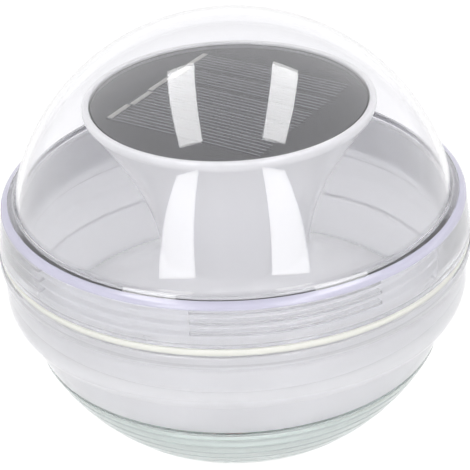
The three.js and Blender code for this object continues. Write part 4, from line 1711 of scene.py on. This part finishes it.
@dataclass
class Board:
    """The green board with its LEDs and parts."""

    plan: Plan

    def board(self) -> None:
        """The round board with its screw holes."""
        low, high, radius = self.plan.board
        made = turned("board_disc", rounded(disc_corners(radius, low, high, 0.15)))
        holes = bmesh.new()
        for spot in Fixings(self.plan).board_places():
            rod(holes, 1.5, low - 1, high + 1, spot, sides=24)
        settle(holes)
        combined(made, piece_from(holes, "board_holes"), Cut.REMOVE)
        dress(made, MASK, Body.HOUSING, ["led_board"])

    def led(self, node: str) -> None:
        """A square LED with a round phosphor window and three terminals on each side.

        Args:
            node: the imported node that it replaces.
        """
        low, high = span(node)
        middle = (low + high) / 2
        size = high - low
        downwards = node.startswith("bottom")
        bm = bmesh.new()
        block(bm, (size.x - 0.5, size.y, size.z), middle, 0.2)
        window_z = low.z + 0.12 if downwards else high.z - 0.12
        shell = piece_from(bm, f"{node}_package")
        cavity = bmesh.new()
        rod(cavity, size.x * 0.36, window_z - 0.3, window_z + 0.3, middle, sides=36)
        settle(cavity)
        combined(shell, piece_from(cavity, "window"), Cut.REMOVE)
        bm = bmesh.new()
        bm.from_mesh(shell.data)
        window = window_z + (0.26 if downwards else -0.26)
        radius = size.x * 0.355
        rod(bm, radius, window - 0.05, window + 0.05, middle, 0.02, 36)
        reach = (radius + size.x * 0.002) * MM
        for face in bm.faces:
            level = abs(face.calc_center_median().z / MM - window) < 0.08
            if level and all((v.co.xy - middle.xy * MM).length < reach for v in face.verts):
                face.material_index = 1
        foot = high.z - 0.15 if downwards else low.z + 0.15
        for side in (-1, 1):
            for k in (-1, 0, 1):
                tab = (middle.x + side * (size.x / 2 - 0.2), middle.y + k * 1.6, foot)
                assign(block(bm, (0.4, 0.9, 0.3), tab, 0.05), 2)
        bm.to_mesh(shell.data)
        bm.free()
        shade(shell)
        dress(shell, LED_BODY, Body.HOUSING, [node], [PHOSPHOR, TIN])

    def chip(self) -> None:
        """The driver chip with four legs on each side."""
        low, high = span("driver_chip")
        middle, size = (low + high) / 2, high - low
        bm = bmesh.new()
        block(bm, (size.x, size.y * 0.7, size.z - 0.2), middle + Vector((0, 0, 0.1)), 0.15)
        for side in (-1, 1):
            for k in range(4):
                spot = (middle.x + (k - 1.5) * 1.6, middle.y + side * size.y * 0.42, low.z + 0.2)
                assign(block(bm, (0.5, size.y * 0.16, 0.3), spot, 0.05), 1)
        made = piece_from(bm, "driver_chip_package")
        dress(made, BLACK, Body.HOUSING, ["driver_chip"], [TIN])

    def coil_and_can(self) -> None:
        """The ferrite coil and the upright capacitor."""
        low, high = span("inductor")
        middle = (low + high) / 2
        radius = (high.x - low.x) / 2
        size = high.z - low.z
        corners = [
            Corner(0, low.z),
            Corner(radius, low.z, 0.2),
            Corner(radius, low.z + 0.25 * size, 0.2),
            Corner(radius * 0.8, low.z + 0.3 * size, 0.2),
            Corner(radius * 0.8, low.z + 0.7 * size, 0.2),
            Corner(radius, low.z + 0.75 * size, 0.2),
            Corner(radius, high.z, 0.2),
            Corner(0, high.z),
        ]
        coil = turned("ferrite_coil", rounded(corners, steps=3), steps=36)
        coil.data.transform(Matrix.Translation(Vector((middle.x, middle.y, 0)) * MM))
        dress(coil, BLACK, Body.HOUSING, ["inductor"])
        low, high = span("capacitor")
        middle = (low + high) / 2
        radius = (high.x - low.x) / 2
        corners = [
            Corner(0, low.z),
            Corner(radius * 0.9, low.z, 0.2),
            Corner(radius, low.z + 0.6, 0.3),
            Corner(radius, high.z, 0.5),
            Corner(radius * 0.8, high.z, 0.1),
            Corner(radius * 0.75, high.z - 0.2, 0.1),
            Corner(0, high.z - 0.2),
        ]
        can = turned("capacitor_can", rounded(corners, steps=3), steps=36)
        can.data.transform(Matrix.Translation(Vector((middle.x, middle.y, 0)) * MM))
        dress(can, BLACK, Body.HOUSING, ["capacitor"])

    def socket(self, node: str) -> None:
        """A two-pole socket: an open box round two pins.

        Args:
            node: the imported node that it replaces.
        """
        low, high = span(node)
        middle = (low + high) / 2
        size = high - low
        made = boxed(f"{node}_housing", size, middle, 0.3)
        inner = (size.x - 1.2, size.y - 1.2, size.z)
        combined(made, boxed("socket_room", inner, middle + Vector((0, 0, 1)), 0.15), Cut.REMOVE)
        bm = bmesh.new()
        bm.from_mesh(made.data)
        for side in (-1, 1):
            pin = (middle.x + side * 1.5, middle.y, middle.z)
            assign(block(bm, (0.6, 0.6, size.z - 1.6), pin, 0.08), 1)
        bm.to_mesh(made.data)
        bm.free()
        shade(made)
        dress(made, NYLON, Body.HOUSING, [node], [TIN])

    def build(self) -> None:
        """Builds and dresses the board and everything on it."""
        self.board()
        for i in range(1, 7):
            self.led(f"bottom_led_{i}")
        for i in range(1, 3):
            self.led(f"column_led_{i}")
        self.chip()
        self.coil_and_can()
        self.socket("solar_socket")
        self.socket("switch_socket")


@dataclass
class Batteries:
    """The tray with its cells, springs and contact plates."""

    count: int = 3
    wall: float = 1.4
    turns: float = 2.5
    wire: float = 0.35
    spring_base: float = 4.0
    spring_tip: float = 2.2

    def tray(self) -> None:
        """The open tray that the cells lie in."""
        low, high = span("battery_tray")
        middle, size = (low + high) / 2, high - low
        made = boxed("tray", size, middle, 0.5)
        inner = (size.x - 2 * self.wall, size.y - 2 * self.wall, size.z)
        room = boxed("tray_room", inner, middle + Vector((0, 0, self.wall)), 0.4)
        combined(made, room, Cut.REMOVE)
        dress(made, BLACK, Body.HOUSING, ["battery_tray"])

    def cell(self, index: int) -> None:
        """One cell: sleeve, rolled ends and nipple.

        Args:
            index: its number, from 1.
        """
        low, high = span(f"battery_{index}")
        middle = (low + high) / 2
        radius = (high.y - low.y) / 2
        length = high.x - low.x
        nipple = 0.2
        corners = [
            Corner(0, 0.25),
            Corner(radius * 0.72, 0.25, 0.1),
            Corner(radius * 0.78, 0, 0.15),
            Corner(radius, 0, 0.6),
            Corner(radius, length - nipple, 0.7),
            Corner(radius * 0.72, length - nipple, 0.2),
            Corner(radius * 0.7, length - nipple - 0.3, 0.1),
            Corner(radius * 0.38, length - nipple - 0.3, 0.1),
            Corner(radius * 0.38, length, 0.2),
            Corner(0, length),
        ]
        made = turned(f"rechargeable_cell_{index}", rounded(corners, steps=4), steps=56)
        inside = radius * 0.74

        def bare(spot: Vector, _normal: Vector) -> bool:
            """Whether a face is one of the cell's steel ends."""
            return math.hypot(spot.x, spot.y) < inside

        paint(made, 1, bare)
        way = 1 if index % 2 else -1
        lie = Matrix.Rotation(way * math.pi / 2, 4, "Y")
        made.data.transform(Matrix.Translation(Vector((0, 0, -length / 2)) * MM))
        made.data.transform(Matrix.Translation(middle * MM) @ lie)
        dress(made, SLEEVE, Body.HOUSING, [f"battery_{index}"], [STEEL])

    def spring(self, index: int) -> None:
        """One conical contact spring.

        Args:
            index: its number, from 1.
        """
        low, high = span(f"battery_spring_{index}")
        middle = (low + high) / 2
        cell = (span(f"battery_{index}")[0].x + span(f"battery_{index}")[1].x) / 2
        towards = 1 if cell > middle.x else -1
        near, far = (low.x, high.x) if towards > 0 else (high.x, low.x)
        axis_y = (span(f"battery_{index}")[0].y + span(f"battery_{index}")[1].y) / 2
        steps = 60
        path = []
        for i in range(steps + 1):
            t = i / steps
            angle = TURN * self.turns * t
            r = self.spring_base + (self.spring_tip - self.spring_base) * t
            x = near + towards * self.wire + (far - near - 2 * towards * self.wire) * t
            path.append(Vector((x, axis_y + r * math.cos(angle), middle.z + r * math.sin(angle))))
        bm = bmesh.new()
        add_tube(bm, path, self.wire, 8)
        settle(bm)
        dress(piece_from(bm, f"contact_spring_{index}"), STEEL, Body.HOUSING, [f"battery_spring_{index}"])

    def plate(self, index: int) -> None:
        """One flat contact plate.

        Args:
            index: its number, from 1.
        """
        low, high = span(f"battery_plate_{index}")
        plate = boxed(f"contact_plate_{index}", high - low, (low + high) / 2, 0.12)
        dress(plate, STEEL, Body.HOUSING, [f"battery_plate_{index}"])

    def build(self) -> None:
        """Builds and dresses the tray and what lies in it."""
        self.tray()
        for i in range(1, self.count + 1):
            self.cell(i)
            self.spring(i)
            self.plate(i)


@dataclass
class Leads:
    """The wires from the panel and the switch down to the board."""

    plan: Plan
    column: Column
    radius: float = 0.8
    spacing: float = 1.5
    solar_x: float = -22.0
    switch_x: float = -12.0

    def build(self) -> None:
        """Builds and dresses the four wires."""
        column = self.column
        parts_y = (span("solar_socket")[0].y + span("solar_socket")[1].y) / 2
        plug = span("solar_socket")[1].z + self.plan.gap
        tray_top = span("battery_tray")[1].z
        board_top = self.plan.board[1]
        hole = column.recess_floor - column.wall
        for name, side, finish in (("solar_lead_red", -1, RED), ("solar_lead_black", 1, DARK)):
            shift = side * self.spacing
            route = [
                (2 * shift, 0, column.recess_floor + self.plan.gap),
                (2 * shift, -1, hole - 2),
                (shift - 6, -16, column.waist + 10),
                (shift - 15, -20, column.waist - 16),
                (shift + self.solar_x, parts_y, tray_top + 6),
                (shift + self.solar_x, parts_y, plug),
            ]
            wire = tube(f"{name}_wire", [Vector(p) for p in route], self.radius)
            dress(wire, finish, Body.HOUSING, [name])
        start = on_circle(self.plan.column[2] - column.seat_inset, column.switch_angle)
        tail = span("switch_body")[0].z - self.plan.gap
        for i, shift in enumerate((-self.spacing, self.spacing), 1):
            route = [
                (start.x + shift, start.y, tail),
                (start.x + shift, start.y, tail - 2),
                (start.x + shift, start.y + 5, tail - 6),
                (shift - 10, parts_y - 14, board_top + 13),
                (shift + self.switch_x, parts_y - 2, board_top + 12),
                (shift + self.switch_x, parts_y, plug),
            ]
            wire = tube(f"switch_wire_{i}", [Vector(p) for p in route], self.radius)
            dress(wire, RED, Body.HOUSING, [f"switch_lead_{i}"])


# ---------------------------------------------------------------------------------------------
# Studio
# ---------------------------------------------------------------------------------------------


@dataclass(frozen=True)
class Softbox:
    """A rectangular softbox.

    Args:
        name: its name.
        place: its place in metres from the dome's centre.
        facing: the way its face looks.
        lean: turn about that way, in degrees.
        size: width and height in metres.
        radiance: how bright its face is.
    """

    name: str
    place: tuple[float, float, float]
    facing: Vector
    lean: float
    size: tuple[float, float]
    radiance: float

    def build(self, middle: Vector) -> None:
        """Hangs the softbox.

        Args:
            middle: the dome's centre in metres.
        """
        data = bpy.data.lights.new(self.name, "AREA")
        data.shape = "RECTANGLE"
        data.size, data.size_y = self.size
        data.energy = self.radiance * math.pi * self.size[0] * self.size[1]
        lamp = bpy.data.objects.new(self.name, data)
        bpy.context.scene.collection.objects.link(lamp)
        look = self.facing.to_track_quat("-Z", "Y").to_matrix().to_4x4()
        turn = Matrix.Rotation(math.radians(-self.lean), 4, "Z")
        lamp.matrix_world = Matrix.Translation(middle + Vector(self.place)) @ look @ turn
        lamp.visible_camera = False


@dataclass
class Studio:
    """A white table, soft light and the camera."""

    plan: Plan
    elevation: float = 29.1
    roll: float = 2.6
    distance: float = 806.8
    aim_drop: float = 2.7
    lens: float = 157.3
    floor_size: float = 12.0
    floor_glow: float = 0.97
    sky_low: float = 1.22
    sky_high: float = 0.5
    bounces: int = 32
    overhead_size: tuple[float, float] = (0.21, 0.92)
    overhead_radiance: float = 6.5
    front_size: tuple[float, float] = (0.205, 0.84)
    front_radiance: float = 4.2

    def camera(self) -> None:
        """The camera at its viewing angle."""
        data = bpy.data.cameras.new("camera")
        data.lens = self.lens
        data.sensor_width = 36
        data.clip_end = 100
        eye = bpy.data.objects.new("camera", data)
        bpy.context.scene.collection.objects.link(eye)
        centre = Vector((0, 0, self.plan.dome_centre)) * MM
        tilt = math.radians(self.elevation)
        eye.location = centre + Vector((0, -math.cos(tilt), math.sin(tilt))) * self.distance * MM
        aim = centre - Vector((0, 0, self.aim_drop * MM))
        look = (aim - eye.location).to_track_quat("-Z", "Y").to_matrix().to_4x4()
        roll = Matrix.Rotation(math.radians(-self.roll), 4, "Z")
        eye.matrix_world = Matrix.Translation(eye.location) @ look @ roll
        bpy.context.scene.camera = eye

    def floor(self) -> None:
        """The pale table top, bright enough to lose its shadows."""
        bm = bmesh.new()
        bmesh.ops.create_grid(bm, x_segments=1, y_segments=1, size=self.floor_size / 2)
        floor = piece_from(bm, "table")
        nodes = Nodes("table_paper")
        nodes.set(Base_Color=(0.08, 0.08, 0.08), Roughness=0.9, Emission_Color=(1.0, 1.0, 1.0))
        nodes.set(Emission_Strength=self.floor_glow)
        floor.data.materials.append(nodes.material)

    def world(self) -> None:
        """A pale room, brighter around the light than above it."""
        world = bpy.data.worlds.new("room")
        world.use_nodes = True
        tree = world.node_tree
        background = tree.nodes["Background"]
        background.inputs["Color"].default_value = (1.0, 1.0, 1.0, 1.0)
        place = tree.nodes.new("ShaderNodeTexCoord")
        split = tree.nodes.new("ShaderNodeSeparateXYZ")
        fade = tree.nodes.new("ShaderNodeMapRange")
        fade.inputs["To Min"].default_value = self.sky_low
        fade.inputs["To Max"].default_value = self.sky_high
        tree.links.new(place.outputs["Generated"], split.inputs[0])
        tree.links.new(split.outputs["Z"], fade.inputs["Value"])
        tree.links.new(fade.outputs["Result"], background.inputs["Strength"])
        bpy.context.scene.world = world

    def lights(self) -> None:
        """Two long strips overhead, from front to back, and two upright strips in front."""
        middle = Vector((0, 0, self.plan.dome_centre * MM))
        overhead = (Vector((0, 0, -1)), self.overhead_size, self.overhead_radiance)
        front = (Vector((0, 1, 0)), self.front_size, self.front_radiance)
        for name, place, lean, (facing, size, radiance) in (
            ("overhead_left", (-0.335, 0.15, 1.0), 0, overhead),
            ("overhead_right", (0.395, 0.15, 1.0), 4, overhead),
            ("front_left", (-0.34, -0.55, 0.47), -7, front),
            ("front_right", (0.31, -0.55, 0.47), 7, front),
        ):
            lamp = Softbox(name, place, facing, lean, size, radiance)
            lamp.build(middle)

    def build(self) -> None:
        """Sets up the camera, the table and the light."""
        self.camera()
        self.floor()
        self.world()
        self.lights()
        # Light that winds through the clear rims needs more bounces than usual before it comes out again.
        paths = bpy.context.scene.cycles
        paths.max_bounces = self.bounces
        paths.transmission_bounces = self.bounces
        view = bpy.context.scene.view_settings
        view.view_transform = "Standard"
        view.look = "None"
        view.exposure = 0.0


def main() -> None:
    """Builds the light's pieces in order, then the studio."""
    logging.basicConfig(level=logging.INFO, format="%(message)s")
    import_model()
    plan = Plan.from_frame()
    column = Column(plan)
    pieces = (
        Dome(plan),
        Seal(plan),
        Bowl(plan),
        column,
        Switch(column),
        Panel(),
        Screws(plan),
        Board(plan),
        Batteries(),
        Leads(plan, column),
        Studio(plan),
    )
    for piece in pieces:
        piece.build()
        log.info("built %s", type(piece).__name__)


if __name__ == "__main__":
    main()
